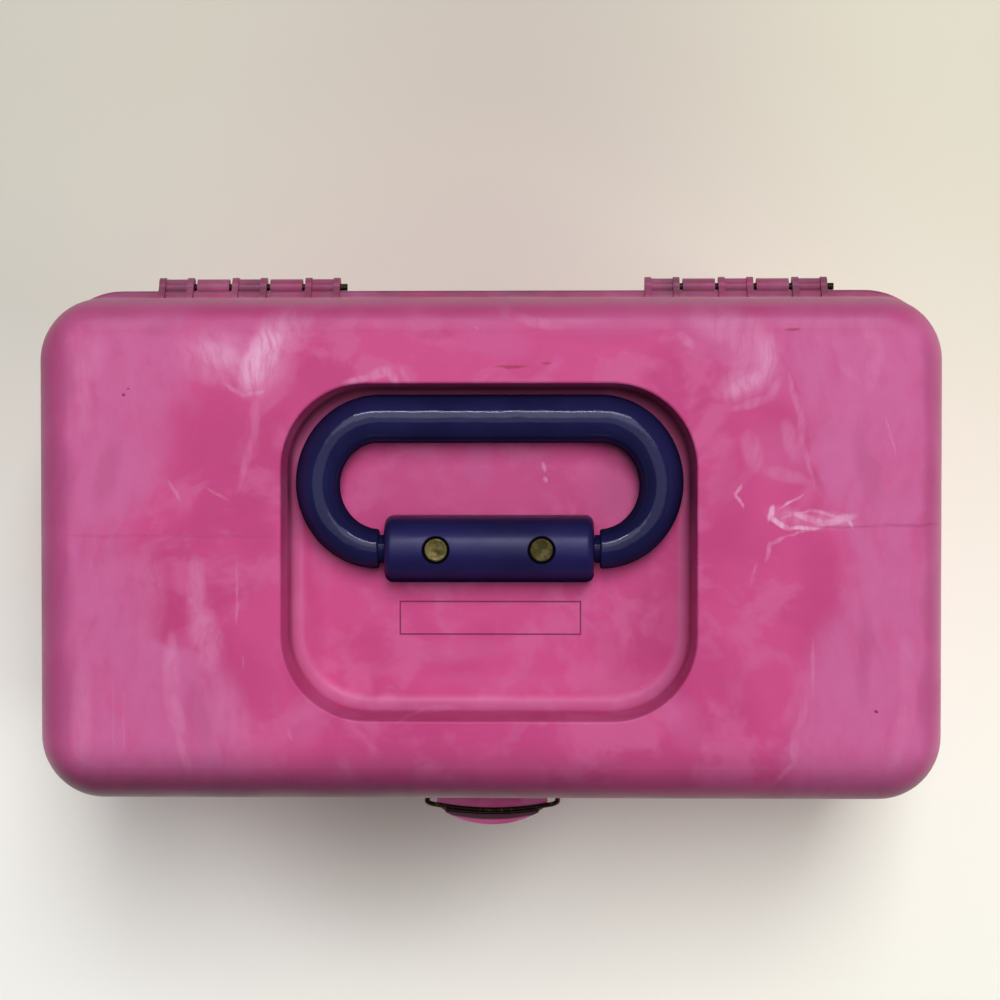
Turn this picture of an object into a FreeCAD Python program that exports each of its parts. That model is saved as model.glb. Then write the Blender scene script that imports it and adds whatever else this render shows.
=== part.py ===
import FreeCAD, Part
import math
import os

# A moulded plastic makeup case: a tapered tub and lid on two wire hinges, a folding handle in a
# recess of the lid, a wire draw latch in front, and two trays on parallel arms that follow the lid.
# Millimetres. +Z is up, +X to the right, the hinges are at +Y and the latch at -Y.
# The origin is the centre of the flat base. Everything is drawn closed.

V = FreeCAD.Vector

# ---- case -------------------------------------------------------------------------------------
CASE_LENGTH = 298.2        # outside of the walls at the parting line, along X
CASE_WIDTH = 167.1         # the same, along Y
BODY_HEIGHT = 112.0        # base to parting line
LID_HEIGHT = 48.0          # parting line to lid top
DRAFT = 2.0                # degrees, body and lid
WALL = 2.5
CORNER_RADIUS = 22.0       # plan corner at the parting line
LID_TOP_ROUND = 11.0
BASE_ROUND = 8.0
RIM_REACH = 3.5            # rim flange beyond the walls
RIM_THICKNESS = 3.5
RIM_ROUND = 1.2
PARTING_ROUND = 0.5        # rim edges that meet at the parting line
LIP_HEIGHT = 4.0           # locating lip of the body inside the lid
LIP_THICKNESS = 1.8
LIP_GAP = 0.3

# ---- recess in the lid ------------------------------------------------------------------------
RECESS_SIDE_GAP = 3.7      # handle to the recess, at the lid top
RECESS_REAR_GAP = 3.3
RECESS_FRONT_ROOM = 55.5   # in front of the handle's pivot line
RECESS_CORNER = 27.6
RECESS_DEPTH = 21.0
RECESS_DRAFT = 5.0
RECESS_FLOOR_ROUND = 5.5
RECESS_EDGE_ROUND = 0.9
PANEL_LENGTH = 60.6        # blank panel outlined by a fine groove
PANEL_WIDTH = 11.4
PANEL_Y = -23.7
PANEL_GROOVE = 0.5

# ---- handle -----------------------------------------------------------------------------------
HANDLE_Y = -0.3            # pivot line, off the lid's middle
GRIP_RADIUS = 8.0
BEND_SIDE_RADIUS = 7.3     # the bail thins towards its ends
BEND_END_RADIUS = 6.5
NECK_LENGTH = 2.0          # barrel to the bail's end
BEND_REACH = 20.2          # half ellipse of the centre line, outwards
BEND_RADIUS = 21.4         # the same, from grip and pivot line to its centre
BAIL_END_ROUND = 0.7
NECK_RADIUS = 4.6
STUB_RADIUS = 4.0
STUB_DEPTH = 11.0
GRIP_FLOOR_GAP = 1.0       # grip to the recess floor
BARREL_RADIUS = 11.0
BARREL_LENGTH = 68.6
BARREL_END_ROUND = 2.6
RIVET_X = 17.2
RIVET_SHANK_RADIUS = 2.4
RIVET_HEAD_RADIUS = 3.75
RIVET_HEAD_HEIGHT = 1.3
RIVET_HEAD_ROUND = 0.5
RIVET_SINK = 1.6           # depth of the counterbore in the barrel
RIVET_SINK_RADIUS = 4.3
WASHER_RADIUS = 6.0
WASHER_THICKNESS = 1.0

# ---- hinges -----------------------------------------------------------------------------------
HINGE_INSET = 65.6         # middle of a hinge to the end of the case
HINGE_OFFSET = 4.9         # pin centre behind the wall line
KNUCKLE_RADIUS = 2.8
HINGE_RIB_RADIUS = 3.3
KNUCKLE_PITCH = 12.6
LID_KNUCKLE_WIDTH = 11.9
BODY_KNUCKLE_WIDTH = 11.0
PIN_COVER = 0.8            # plastic over the pin between the ribs
KNUCKLE_SHELL = 1.2
STRAP_DROP = 4.0           # the body knuckle's strap runs this far down the wall
HINGE_RIB = 2.2
HINGE_PIN_RADIUS = 1.2
HINGE_PIN_OVERHANG = 2.4
KNUCKLE_GAP = 0.4          # notch in the other half's rim

# ---- latch ------------------------------------------------------------------------------------
CATCH_HALF_WIDTH = 19.0
CATCH_REACH = 12.4         # front of the lip beyond the wall line
CATCH_BOW = 32.6           # plan radius of the lip
CATCH_SHELF_HEIGHT = 4.5   # shelf top above the parting line
CATCH_LIP_HEIGHT = 3.0
CATCH_VALLEY_REACH = 9.0   # inner side of the lip beyond the wall line, at the middle
CATCH_VALLEY_BOW = 106.0
CATCH_FOOT = 0.6           # catch underside above the parting line
CATCH_ROUND = 1.0
LIP_HALF_WIDTH = 16.0
WIRE_RADIUS = 0.8
WIRE_SIDE_GAP = 3.0        # wire beside the lever
WIRE_BOW = 3.8             # corner point of the bow ahead of its shoulders
WIRE_BOW_RADIUS = 105.0
WIRE_FOOT_CORNER = 2.0
WIRE_GAP = 0.2
WIRE_SHOULDER_REACH = 5.4
WIRE_CORNER = 3.0
LEVER_PIVOT_DROP = 24.0    # below the parting line
LEVER_PIVOT_REACH = 3.3    # in front of the body wall
LEVER_HALF_WIDTH = 19.5
LEVER_CHEEK = 2.5
LEVER_PLATE = 2.2
LEVER_TAIL = 30.0          # length below the pivot
LEVER_HEAD = 0.5           # plate above the pivot
LEVER_FLARE = 2.5
LEVER_FLARE_HEIGHT = 6.0
LEVER_CORNER = 4.0
LEVER_PIN_RADIUS = 1.2
LEVER_LUG_GAP = 0.6
LUG_RADIUS = 2.4
LUG_THICKNESS = 3.0
WIRE_PIVOT_DROP = 6.0      # wire end below the lever pivot
WIRE_PIVOT_REACH = 0.4

# ---- trays and arms ---------------------------------------------------------------------------
ARM_RISE = 10.0            # body pivot to tray pivot, upwards
ARM_HALF_WIDTH = 4.5
ARM_THICKNESS = 2.0
ARM_GAP_TO_TRAY = 2.5      # room for rivet heads
ARM_SIDE_GAP = 1.55        # between the two arms of a side, closed
BODY_PIVOT_INSET = 29.25   # rear body pivot to the inner rear wall
FRONT_PIVOT_LIFT = 9.0     # front tray pivot above the upper tray's underside
FRONT_PIVOT_INSET = 18.05  # front tray pivot to the tray's front
REAR_PIVOT_INSET = 33.95   # rear tray pivot to the tray's rear
TRAY_WALL = 2.0
TRAY_CORNER = 8.0
TRAY_RIM_ROUND = 0.7
TRAY_FRONT_GAP = 5.2       # tray to the inner front wall
TALL_SPACE = 61.3          # behind the trays, for bottles
UPPER_TRAY_HEIGHT = 22.0
LOWER_TRAY_HEIGHT = 24.0
TRAY_GAP = 2.0
UPPER_TRAY_SIDE_GAP = 17.5 # upper tray to the inner side wall
EAR_GAP = 1.5
DIVIDER_THICKNESS = 1.6
DIVIDER_RIB = 1.2
UPPER_ROW_Y = 44.0         # depth of the upper tray's front row
ARM_RIVET_RADIUS = 2.0
ARM_RIVET_HEAD = 3.5
ARM_HEAD_HEIGHT = 1.3
ARM_COLLAR_RADIUS = 3.0
BOSS_RADIUS = 5.0
TRAY_HEAD_HEIGHT = 0.8
PIN_SIDE_GAP = 0.8         # lid boss to the upper tray's ear
LID_PIN_DEPTH = 6.0
UPPER_DIVIDERS = (-43.0, 43.0)
LOWER_DIVIDERS = (-44.0, 44.0)
RUNNING_GAP = 0.06         # radial, for what turns
SIDE_GAP = 0.3             # beside what turns

# ---- mirror -----------------------------------------------------------------------------------
MIRROR_LENGTH = 184.0
MIRROR_WIDTH = 80.0
MIRROR_THICKNESS = 2.0
MIRROR_LIP = 3.0           # cover of the frame over the glass edge
FRAME_BORDER = 11.0
FRAME_THICKNESS = 5.0
FRAME_FACE = 1.2
FRAME_ROUND = 1.2
FRAME_CORNER = 10.0
FRAME_UNDER_RECESS = 6.5   # frame face below the recess underside
POST_RADIUS = 4.0
SCREW_RADIUS = 1.25
SCREW_HEAD_RADIUS = 2.8
SCREW_LENGTH = 12.0
GLASS_GAP = 0.2

# ---- worked out -------------------------------------------------------------------------------
SLOPE = math.tan(math.radians(DRAFT))
HALF_X = CASE_LENGTH / 2
HALF_Y = CASE_WIDTH / 2
TOP = BODY_HEIGHT + LID_HEIGHT
FLOOR_TOP = TOP - RECESS_DEPTH
FLOOR_UNDER = FLOOR_TOP - WALL
LID_CEILING = TOP - WALL
HINGE_X = HALF_X - HINGE_INSET
HINGE_Y = HALF_Y + HINGE_OFFSET
HANDLE_Z = FLOOR_TOP + GRIP_FLOOR_GAP + GRIP_RADIUS
BARREL_HALF = BARREL_LENGTH / 2
BEND_CENTRE_X = BARREL_HALF + NECK_LENGTH
RECESS_REAR = HANDLE_Y + 2 * BEND_RADIUS + GRIP_RADIUS + RECESS_REAR_GAP
RECESS_FRONT = HANDLE_Y - RECESS_FRONT_ROOM
RECESS_Y = (RECESS_REAR + RECESS_FRONT) / 2
RECESS_HALF_Y = (RECESS_REAR - RECESS_FRONT) / 2
RECESS_HALF_X = BEND_CENTRE_X + BEND_REACH + BEND_SIDE_RADIUS + RECESS_SIDE_GAP
BARREL_TOP = HANDLE_Z + BARREL_RADIUS
SHELF_TOP = BODY_HEIGHT + CATCH_SHELF_HEIGHT
LEVER_PIVOT_Z = BODY_HEIGHT - LEVER_PIVOT_DROP
LEVER_PIVOT_Y = -(HALF_Y - LEVER_PIVOT_DROP * SLOPE + LEVER_PIVOT_REACH)
WIRE_HALF_SPAN = LEVER_HALF_WIDTH + WIRE_SIDE_GAP
WIRE_PIVOT_Z = LEVER_PIVOT_Z - WIRE_PIVOT_DROP
WIRE_PIVOT_Y = LEVER_PIVOT_Y - WIRE_PIVOT_REACH
INNER_X = HALF_X - WALL
INNER_Y = HALF_Y - WALL
UPPER_TRAY_X = INNER_X - UPPER_TRAY_SIDE_GAP
LOWER_TRAY_X = UPPER_TRAY_X + EAR_GAP + TRAY_WALL
ARM_IN = LOWER_TRAY_X + ARM_GAP_TO_TRAY
ARM_OUT = ARM_IN + ARM_THICKNESS
TRAY_FRONT = -(INNER_Y - TRAY_FRONT_GAP)
TRAY_REAR = INNER_Y - TALL_SPACE
UPPER_TOP = BODY_HEIGHT - TRAY_GAP
UPPER_FLOOR = UPPER_TOP - UPPER_TRAY_HEIGHT
LOWER_TOP = UPPER_FLOOR - TRAY_GAP
LOWER_FLOOR = LOWER_TOP - LOWER_TRAY_HEIGHT
REAR_PIVOT_Y = INNER_Y - BODY_PIVOT_INSET
ARM_FORWARD = REAR_PIVOT_Y - (TRAY_REAR - REAR_PIVOT_INSET)
ARM_LENGTH = math.hypot(ARM_FORWARD, ARM_RISE)
FRONT_PIVOT_Y = TRAY_FRONT + FRONT_PIVOT_INSET + ARM_FORWARD
FRONT_PIVOT_Z = UPPER_FLOOR + FRONT_PIVOT_LIFT - ARM_RISE
PIVOT_STEP = ((2 * ARM_HALF_WIDTH + ARM_SIDE_GAP) * ARM_LENGTH
              - (REAR_PIVOT_Y - FRONT_PIVOT_Y) * ARM_RISE) / ARM_FORWARD
ARM_PIVOTS = {"rear": (REAR_PIVOT_Y, FRONT_PIVOT_Z + PIVOT_STEP), "front": (FRONT_PIVOT_Y, FRONT_PIVOT_Z)}
LID_PIVOT = (HINGE_Y - ARM_FORWARD, BODY_HEIGHT + ARM_RISE)
LID_PIN_END = UPPER_TRAY_X + PIN_SIDE_GAP + LID_PIN_DEPTH
FRAME_BOTTOM = FLOOR_UNDER - FRAME_UNDER_RECESS
FRAME_TOP = FRAME_BOTTOM + FRAME_THICKNESS
SCREW_X = MIRROR_LENGTH / 2 + FRAME_BORDER / 2
SCREW_Y = MIRROR_WIDTH / 2 + FRAME_BORDER / 2


# ---- shapes used by several pieces --------------------------------------------------------------
def box(x0, x1, y0, y1, z0, z1):
    return Part.makeBox(x1 - x0, y1 - y0, z1 - z0, V(x0, y0, z0))


def rod_x(y, z, radius, x0, x1):
    return Part.makeCylinder(radius, x1 - x0, V(x0, y, z), V(1, 0, 0))


def rod_z(x, y, radius, z0, z1):
    return Part.makeCylinder(radius, z1 - z0, V(x, y, z0), V(0, 0, 1))


def fuse(shapes):
    return shapes[0].multiFuse(shapes[1:]).removeSplitter()


def cut_all(solid, tools):
    return solid.cut(tools[0].multiFuse(tools[1:])).removeSplitter()


def flip_x(shape):
    return shape.mirror(V(0, 0, 0), V(1, 0, 0))


def both_sides(shapes):
    return shapes + [flip_x(shape) for shape in shapes]


def rounded_outline(half_x, half_y, radius, z, y_mid=0.0):
    """A rectangle with round corners, as one wire at height z."""
    edges = []
    for quarter in range(4):
        turn = math.pi / 2 * quarter
        sign_x = 1 if quarter in (0, 3) else -1
        sign_y = 1 if quarter in (0, 1) else -1
        centre = V(sign_x * (half_x - radius), y_mid + sign_y * (half_y - radius), z)
        spots = [centre + V(math.cos(turn + step), math.sin(turn + step), 0) * radius
                 for step in (0, math.pi / 4, math.pi / 2)]
        edges.append(Part.Arc(*spots).toShape())
    sides = []
    for quarter in range(4):
        start = edges[quarter].Vertexes[-1].Point
        end = edges[(quarter + 1) % 4].Vertexes[0].Point
        sides.append(Part.makeLine(start, end))
    order = [edge for pair in zip(edges, sides) for edge in pair]
    return Part.Wire(order)


def tapered_block(half_x, half_y, radius, inset, z0, z1, slope=SLOPE, z_full=None):
    """A drafted block whose size is (half_x, half_y, radius) at z_full, less inset all round."""
    z_full = BODY_HEIGHT if z_full is None else z_full
    wires = []
    for z in (z0, z1):
        shrink = inset + abs(z - z_full) * slope
        wires.append(rounded_outline(half_x - shrink, half_y - shrink, radius - shrink, z))
    return Part.makeLoft(wires, True, True)


def upright_block(half_x, half_y, radius, z0, z1, y_mid=0.0):
    face = Part.Face(rounded_outline(half_x, half_y, radius, z0, y_mid))
    return face.extrude(V(0, 0, z1 - z0))


def round_level_edges(shape, z, radius):
    """Rounds the edges that lie at height z."""
    edges = [edge for edge in shape.Edges
             if abs(edge.BoundBox.ZMin - z) < 1e-4 and abs(edge.BoundBox.ZMax - z) < 1e-4]
    return shape.makeFillet(radius, edges)


def flat_edges(shape):
    """The edges that lie in a plane across X."""
    return [edge for edge in shape.Edges if edge.BoundBox.XLength < 1e-4]


def profile_x(points, x0, x1):
    """A prism along X from a closed outline of (y, z) points."""
    corners = [V(x0, y, z) for y, z in points]
    face = Part.Face(Part.makePolygon(corners + corners[:1]))
    return face.extrude(V(x1 - x0, 0, 0))


def rounded_path(points, radii):
    """Straight runs joined by tangent arcs; radii has one value for each inner point."""
    edges = []
    last = points[0]
    for index, radius in enumerate(radii):
        corner = points[index + 1]
        back = (points[index] - corner).normalize()
        ahead = (points[index + 2] - corner).normalize()
        half_turn = (math.pi - back.getAngle(ahead)) / 2
        reach = radius * math.tan(half_turn)
        bisector = (back + ahead).normalize()
        middle = corner + bisector * (radius / math.cos(half_turn) - radius)
        start = corner + back * reach
        end = corner + ahead * reach
        edges.append(Part.makeLine(last, start))
        edges.append(Part.Arc(start, middle, end).toShape())
        last = end
    edges.append(Part.makeLine(last, points[-1]))
    return Part.Wire(edges)


def wire_solid(path, radius):
    start = path.Vertexes[0].Point
    along = path.Edges[0].tangentAt(path.Edges[0].FirstParameter)
    section = Part.Wire(Part.makeCircle(radius, start, along))
    return path.makePipeShell([section], True, True)


# ---- body and lid -------------------------------------------------------------------------------
def inner_block(z0, z1):
    return tapered_block(HALF_X, HALF_Y, CORNER_RADIUS, WALL, z0, z1)


def body_tub():
    outer = tapered_block(HALF_X, HALF_Y, CORNER_RADIUS, 0, 0, BODY_HEIGHT)
    outer = round_level_edges(outer, 0, BASE_ROUND)
    rim = upright_block(HALF_X + RIM_REACH, HALF_Y + RIM_REACH, CORNER_RADIUS + RIM_REACH,
                        BODY_HEIGHT - RIM_THICKNESS, BODY_HEIGHT)
    rim = round_level_edges(round_level_edges(rim, BODY_HEIGHT, PARTING_ROUND), BODY_HEIGHT - RIM_THICKNESS,
                            RIM_ROUND)
    inner = round_level_edges(inner_block(WALL, BODY_HEIGHT), WALL, BASE_ROUND - WALL)
    return outer.fuse(rim).cut(inner)


def locating_lip():
    """A thin wall inside the body's rim that stands up into the lid."""
    low = BODY_HEIGHT - LIP_HEIGHT
    high = BODY_HEIGHT + LIP_HEIGHT
    inset = WALL + LIP_GAP
    corner = CORNER_RADIUS - inset
    core = upright_block(HALF_X - inset, HALF_Y - inset, corner, low, high)
    root = upright_block(HALF_X - WALL, HALF_Y - WALL, CORNER_RADIUS - WALL, low, BODY_HEIGHT)
    root = root.common(tapered_block(HALF_X, HALF_Y, CORNER_RADIUS, WALL / 2, low, BODY_HEIGHT))
    hole = upright_block(HALF_X - inset - LIP_THICKNESS, HALF_Y - inset - LIP_THICKNESS,
                         corner - LIP_THICKNESS, low - 1, high + 1)
    return core.fuse(root).cut(hole)


def knuckle_spans(offsets, width):
    """X spans of the knuckles at the given pitch numbers, for both hinges."""
    spans = []
    for centre in (-HINGE_X, HINGE_X):
        for offset in offsets:
            middle = centre + offset * KNUCKLE_PITCH
            spans.append((middle - width / 2, middle + width / 2))
    return spans


LID_KNUCKLES = knuckle_spans((-2, 0, 2), LID_KNUCKLE_WIDTH)
BODY_KNUCKLES = knuckle_spans((-1, 1), BODY_KNUCKLE_WIDTH)


def knuckle_notches(spans, radius):
    return [rod_x(HINGE_Y, BODY_HEIGHT, radius + KNUCKLE_GAP, x0 - KNUCKLE_GAP, x1 + KNUCKLE_GAP)
            for x0, x1 in spans]


def body_knuckle(x0, x1):
    eye = rod_x(HINGE_Y, BODY_HEIGHT, KNUCKLE_RADIUS, x0, x1)
    root_y = HALF_Y - WALL / 2
    low = BODY_HEIGHT - KNUCKLE_RADIUS
    outline = [(root_y, low - STRAP_DROP), (root_y, BODY_HEIGHT), (HINGE_Y, BODY_HEIGHT), (HINGE_Y, low)]
    return [eye, profile_x(outline, x0, x1)]


def body_bosses():
    return [rod_x(y, z, BOSS_RADIUS, ARM_OUT + SIDE_GAP, INNER_X) for y, z in ARM_PIVOTS.values()]


def lever_lugs():
    inner = LEVER_HALF_WIDTH - LEVER_CHEEK - SIDE_GAP - LUG_THICKNESS
    wall_y = -(HALF_Y - WALL)
    y = LEVER_PIVOT_Y
    z = LEVER_PIVOT_Z
    lugs = [rod_x(y, z, LUG_RADIUS, inner, inner + LUG_THICKNESS)]
    top = z + LUG_RADIUS
    outline = [(y, top), (wall_y, top), (wall_y, z - 3 * LUG_RADIUS), (y, z - LUG_RADIUS)]
    lugs.append(profile_x(outline, inner, inner + LUG_THICKNESS))
    return both_sides(lugs)


def body_shell():
    solid = cut_all(body_tub(), knuckle_notches(LID_KNUCKLES, HINGE_RIB_RADIUS))
    knuckles = [piece for span in BODY_KNUCKLES for piece in body_knuckle(*span)]
    solid = solid.multiFuse([locating_lip()] + knuckles + both_sides(body_bosses()) + lever_lugs())
    pins = [rod_x(HINGE_Y, BODY_HEIGHT, HINGE_PIN_RADIUS, -HALF_X, HALF_X)]
    pins.append(rod_x(LEVER_PIVOT_Y, LEVER_PIVOT_Z, LEVER_PIN_RADIUS, -LEVER_HALF_WIDTH, LEVER_HALF_WIDTH))
    for y, z in ARM_PIVOTS.values():
        pins += both_sides([rod_x(y, z, ARM_RIVET_RADIUS, ARM_OUT, INNER_X - 1)])
    return cut_all(solid, pins)


def recess_block(grow, z0, z1):
    """The drafted room of the recess, larger by grow all round."""
    wires = []
    for z in (z0, z1):
        shrink = (TOP - z) * math.tan(math.radians(RECESS_DRAFT)) - grow
        wires.append(rounded_outline(RECESS_HALF_X - shrink, RECESS_HALF_Y - shrink,
                                     RECESS_CORNER - shrink, z, RECESS_Y))
    return Part.makeLoft(wires, True, True)


def lid_skin():
    outer = tapered_block(HALF_X, HALF_Y, CORNER_RADIUS, 0, BODY_HEIGHT, TOP)
    outer = round_level_edges(outer, TOP, LID_TOP_ROUND)
    cavity = round_level_edges(recess_block(0, FLOOR_TOP, TOP + 1), FLOOR_TOP, RECESS_FLOOR_ROUND)
    topped = outer.cut(cavity)
    reach = RECESS_HALF_X + 1
    level = [edge.BoundBox for edge in topped.Edges]
    edges = [edge for edge, span in zip(topped.Edges, level)
             if abs(span.ZMin - TOP) < 1e-4 and span.XMax < reach and span.XMin > -reach]
    topped = topped.makeFillet(RECESS_EDGE_ROUND, edges)
    hollow = round_level_edges(inner_block(BODY_HEIGHT, LID_CEILING), LID_CEILING, LID_TOP_ROUND - WALL)
    pocket = round_level_edges(recess_block(WALL, FLOOR_UNDER, TOP), FLOOR_UNDER, RECESS_FLOOR_ROUND + WALL)
    return topped.cut(hollow.cut(pocket))


def lid_rim():
    reach = RIM_REACH
    top = BODY_HEIGHT + RIM_THICKNESS
    block = upright_block(HALF_X + reach, HALF_Y + reach, CORNER_RADIUS + reach, BODY_HEIGHT, top)
    block = round_level_edges(round_level_edges(block, top, RIM_ROUND), BODY_HEIGHT, PARTING_ROUND)
    return block.cut(inner_block(BODY_HEIGHT, top))


def lid_knuckle(x0, x1):
    """Two ribs with round eyes, and between them a thin cover of the pin and a shell behind it."""
    root_y = HALF_Y - WALL / 2
    top = BODY_HEIGHT + HINGE_RIB_RADIUS
    rib = [(root_y, BODY_HEIGHT), (root_y, top + HINGE_OFFSET), (HINGE_Y, top), (HINGE_Y, BODY_HEIGHT)]
    shapes = [rod_x(HINGE_Y, BODY_HEIGHT, HINGE_PIN_RADIUS + PIN_COVER, x0, x1)]
    for start in (x0, x1 - HINGE_RIB):
        shapes.append(rod_x(HINGE_Y, BODY_HEIGHT, HINGE_RIB_RADIUS, start, start + HINGE_RIB))
        shapes.append(profile_x(rib, start, start + HINGE_RIB))
    tube = rod_x(HINGE_Y, BODY_HEIGHT, KNUCKLE_RADIUS, x0, x1)
    tube = tube.cut(rod_x(HINGE_Y, BODY_HEIGHT, KNUCKLE_RADIUS - KNUCKLE_SHELL, x0, x1))
    keep = box(x0, x1, HINGE_Y, HINGE_Y + KNUCKLE_RADIUS, BODY_HEIGHT - KNUCKLE_RADIUS,
               BODY_HEIGHT + KNUCKLE_RADIUS / 2)
    shapes.append(tube.common(keep))
    return shapes


def catch():
    """A half-moon shelf on the lid front with a crescent lip along its edge."""
    low = BODY_HEIGHT + CATCH_FOOT
    high = SHELF_TOP + CATCH_LIP_HEIGHT
    reach = HALF_Y + CATCH_REACH
    plan = box(-CATCH_HALF_WIDTH, CATCH_HALF_WIDTH, -reach, -(HALF_Y - WALL / 2), low, high)
    moon = plan.common(rod_z(0, CATCH_BOW - reach, CATCH_BOW, low, high))
    valley_y = CATCH_VALLEY_BOW - HALF_Y - CATCH_VALLEY_REACH
    valley = [rod_z(0, valley_y, CATCH_VALLEY_BOW, SHELF_TOP, high)]
    valley += both_sides([box(LIP_HALF_WIDTH, CATCH_HALF_WIDTH, -reach, -HALF_Y, SHELF_TOP, high)])
    shelf = cut_all(moon, valley)
    bow = [edge for edge in shelf.Edges if edge.BoundBox.ZMax < low + 1e-4 and edge.BoundBox.YLength > 1
           and edge.Length > CATCH_HALF_WIDTH]
    return shelf.makeFillet(CATCH_ROUND, bow)


def lid_posts():
    top = LID_CEILING + WALL / 2
    return [rod_z(SCREW_X, y, POST_RADIUS, FRAME_TOP, top) for y in (-SCREW_Y, SCREW_Y)]


def lid_holes():
    tools = []
    for y in (-SCREW_Y, SCREW_Y):
        tools += both_sides([rod_z(SCREW_X, y, SCREW_RADIUS, FRAME_TOP, FRAME_BOTTOM + SCREW_LENGTH)])
    tools += both_sides([rod_z(RIVET_X, HANDLE_Y, RIVET_SHANK_RADIUS, FLOOR_UNDER - 1, FLOOR_TOP + 1)])
    for x0, x1 in LID_KNUCKLES:
        tools.append(rod_x(HINGE_Y, BODY_HEIGHT, HINGE_PIN_RADIUS + RUNNING_GAP, x0, x1))
    y, z = LID_PIVOT
    tools += both_sides([rod_x(y, z, ARM_RIVET_RADIUS, UPPER_TRAY_X, LID_PIN_END)])
    return tools


def panel_groove():
    half_x = PANEL_LENGTH / 2
    half_y = PANEL_WIDTH / 2
    low = FLOOR_TOP - PANEL_GROOVE
    outer = box(-half_x, half_x, PANEL_Y - half_y, PANEL_Y + half_y, low, FLOOR_TOP)
    inner = box(-half_x + PANEL_GROOVE, half_x - PANEL_GROOVE, PANEL_Y - half_y + PANEL_GROOVE,
                PANEL_Y + half_y - PANEL_GROOVE, low, FLOOR_TOP)
    return outer.cut(inner)


def lid_shell():
    solid = lid_skin().fuse(lid_rim())
    solid = cut_all(solid, knuckle_notches(BODY_KNUCKLES, KNUCKLE_RADIUS))
    additions = [piece for span in LID_KNUCKLES for piece in lid_knuckle(*span)]
    y, z = LID_PIVOT
    boss = rod_x(y, z, BOSS_RADIUS, UPPER_TRAY_X + PIN_SIDE_GAP, INNER_X)
    solid = solid.multiFuse(additions + [catch()] + both_sides(lid_posts() + [boss]))
    return cut_all(solid, lid_holes() + [panel_groove()])


def hinge_pins():
    half = 2 * KNUCKLE_PITCH + LID_KNUCKLE_WIDTH / 2
    names = {"left_hinge_pin": -HINGE_X, "right_hinge_pin": HINGE_X}
    return {name: rod_x(HINGE_Y, BODY_HEIGHT, HINGE_PIN_RADIUS, x - half, x + half + HINGE_PIN_OVERHANG)
            for name, x in names.items()}


# ---- handle -------------------------------------------------------------------------------------
def bend_section(step, steps):
    angle = math.pi * step / steps
    if step * 2 <= steps:
        radius = GRIP_RADIUS + (BEND_SIDE_RADIUS - GRIP_RADIUS) * 2 * step / steps
    else:
        radius = BEND_SIDE_RADIUS + (BEND_END_RADIUS - BEND_SIDE_RADIUS) * (2 * step / steps - 1)
    x = BEND_CENTRE_X + BEND_REACH * math.sin(angle)
    centre = V(x, HANDLE_Y + BEND_RADIUS * (1 + math.cos(angle)), HANDLE_Z)
    along = V(BEND_REACH * math.cos(angle), -BEND_RADIUS * math.sin(angle), 0)
    return Part.Wire(Part.makeCircle(radius, centre, along))


def handle_bend():
    steps = 8
    bend = Part.makeLoft([bend_section(step, steps) for step in range(steps + 1)], True, False)
    ends = [edge for edge in flat_edges(bend) if edge.CenterOfMass.y < BEND_RADIUS]
    return bend.makeFillet(BAIL_END_ROUND, ends)


def handle_bail():
    bend = handle_bend()
    neck = rod_x(HANDLE_Y, HANDLE_Z, NECK_RADIUS, BARREL_HALF + SIDE_GAP, BEND_CENTRE_X + BAIL_END_ROUND)
    stub = rod_x(HANDLE_Y, HANDLE_Z, STUB_RADIUS, BARREL_HALF - STUB_DEPTH, BARREL_HALF + SIDE_GAP)
    grip = rod_x(HANDLE_Y + 2 * BEND_RADIUS, HANDLE_Z, GRIP_RADIUS, -BEND_CENTRE_X, BEND_CENTRE_X)
    return fuse([grip] + both_sides([bend, neck, stub]))


def handle_barrel():
    half = BARREL_HALF
    rear = HANDLE_Y + BARREL_RADIUS
    front = HANDLE_Y - BARREL_RADIUS
    corners = [V(-half, rear, HANDLE_Z), V(-half, rear, FLOOR_TOP), V(-half, front, FLOOR_TOP),
               V(-half, front, HANDLE_Z)]
    lines = [Part.makeLine(corners[index], corners[index + 1]) for index in range(3)]
    crown = Part.Arc(corners[3], V(-half, HANDLE_Y, BARREL_TOP), corners[0]).toShape()
    solid = Part.Face(Part.Wire(lines + [crown])).extrude(V(BARREL_LENGTH, 0, 0))
    ends = [edge for edge in flat_edges(solid) if edge.BoundBox.ZMax > FLOOR_TOP + 1]
    solid = solid.makeFillet(BARREL_END_ROUND, ends)
    bore = STUB_RADIUS + RUNNING_GAP
    seat = BARREL_TOP - RIVET_SINK
    tools = both_sides([rod_x(HANDLE_Y, HANDLE_Z, bore, half - STUB_DEPTH - 1, half + 1)])
    tools += both_sides([rod_z(RIVET_X, HANDLE_Y, RIVET_SINK_RADIUS, seat, BARREL_TOP + 1)])
    tools += both_sides([rod_z(RIVET_X, HANDLE_Y, RIVET_SHANK_RADIUS, FLOOR_TOP - 1, BARREL_TOP)])
    return cut_all(solid, tools)


def handle_rivet():
    """A flat head in the barrel, a shank through the lid floor and a tail under the washer."""
    seat = BARREL_TOP - RIVET_SINK
    head = rod_z(RIVET_X, HANDLE_Y, RIVET_HEAD_RADIUS, seat, seat + RIVET_HEAD_HEIGHT)
    head = round_level_edges(head, seat + RIVET_HEAD_HEIGHT, RIVET_HEAD_ROUND)
    tail_top = FLOOR_UNDER - WASHER_THICKNESS
    shank = rod_z(RIVET_X, HANDLE_Y, RIVET_SHANK_RADIUS, tail_top, seat)
    tail = rod_z(RIVET_X, HANDLE_Y, RIVET_HEAD_RADIUS, tail_top - RIVET_HEAD_HEIGHT, tail_top)
    return fuse([head, shank, tail])


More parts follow.
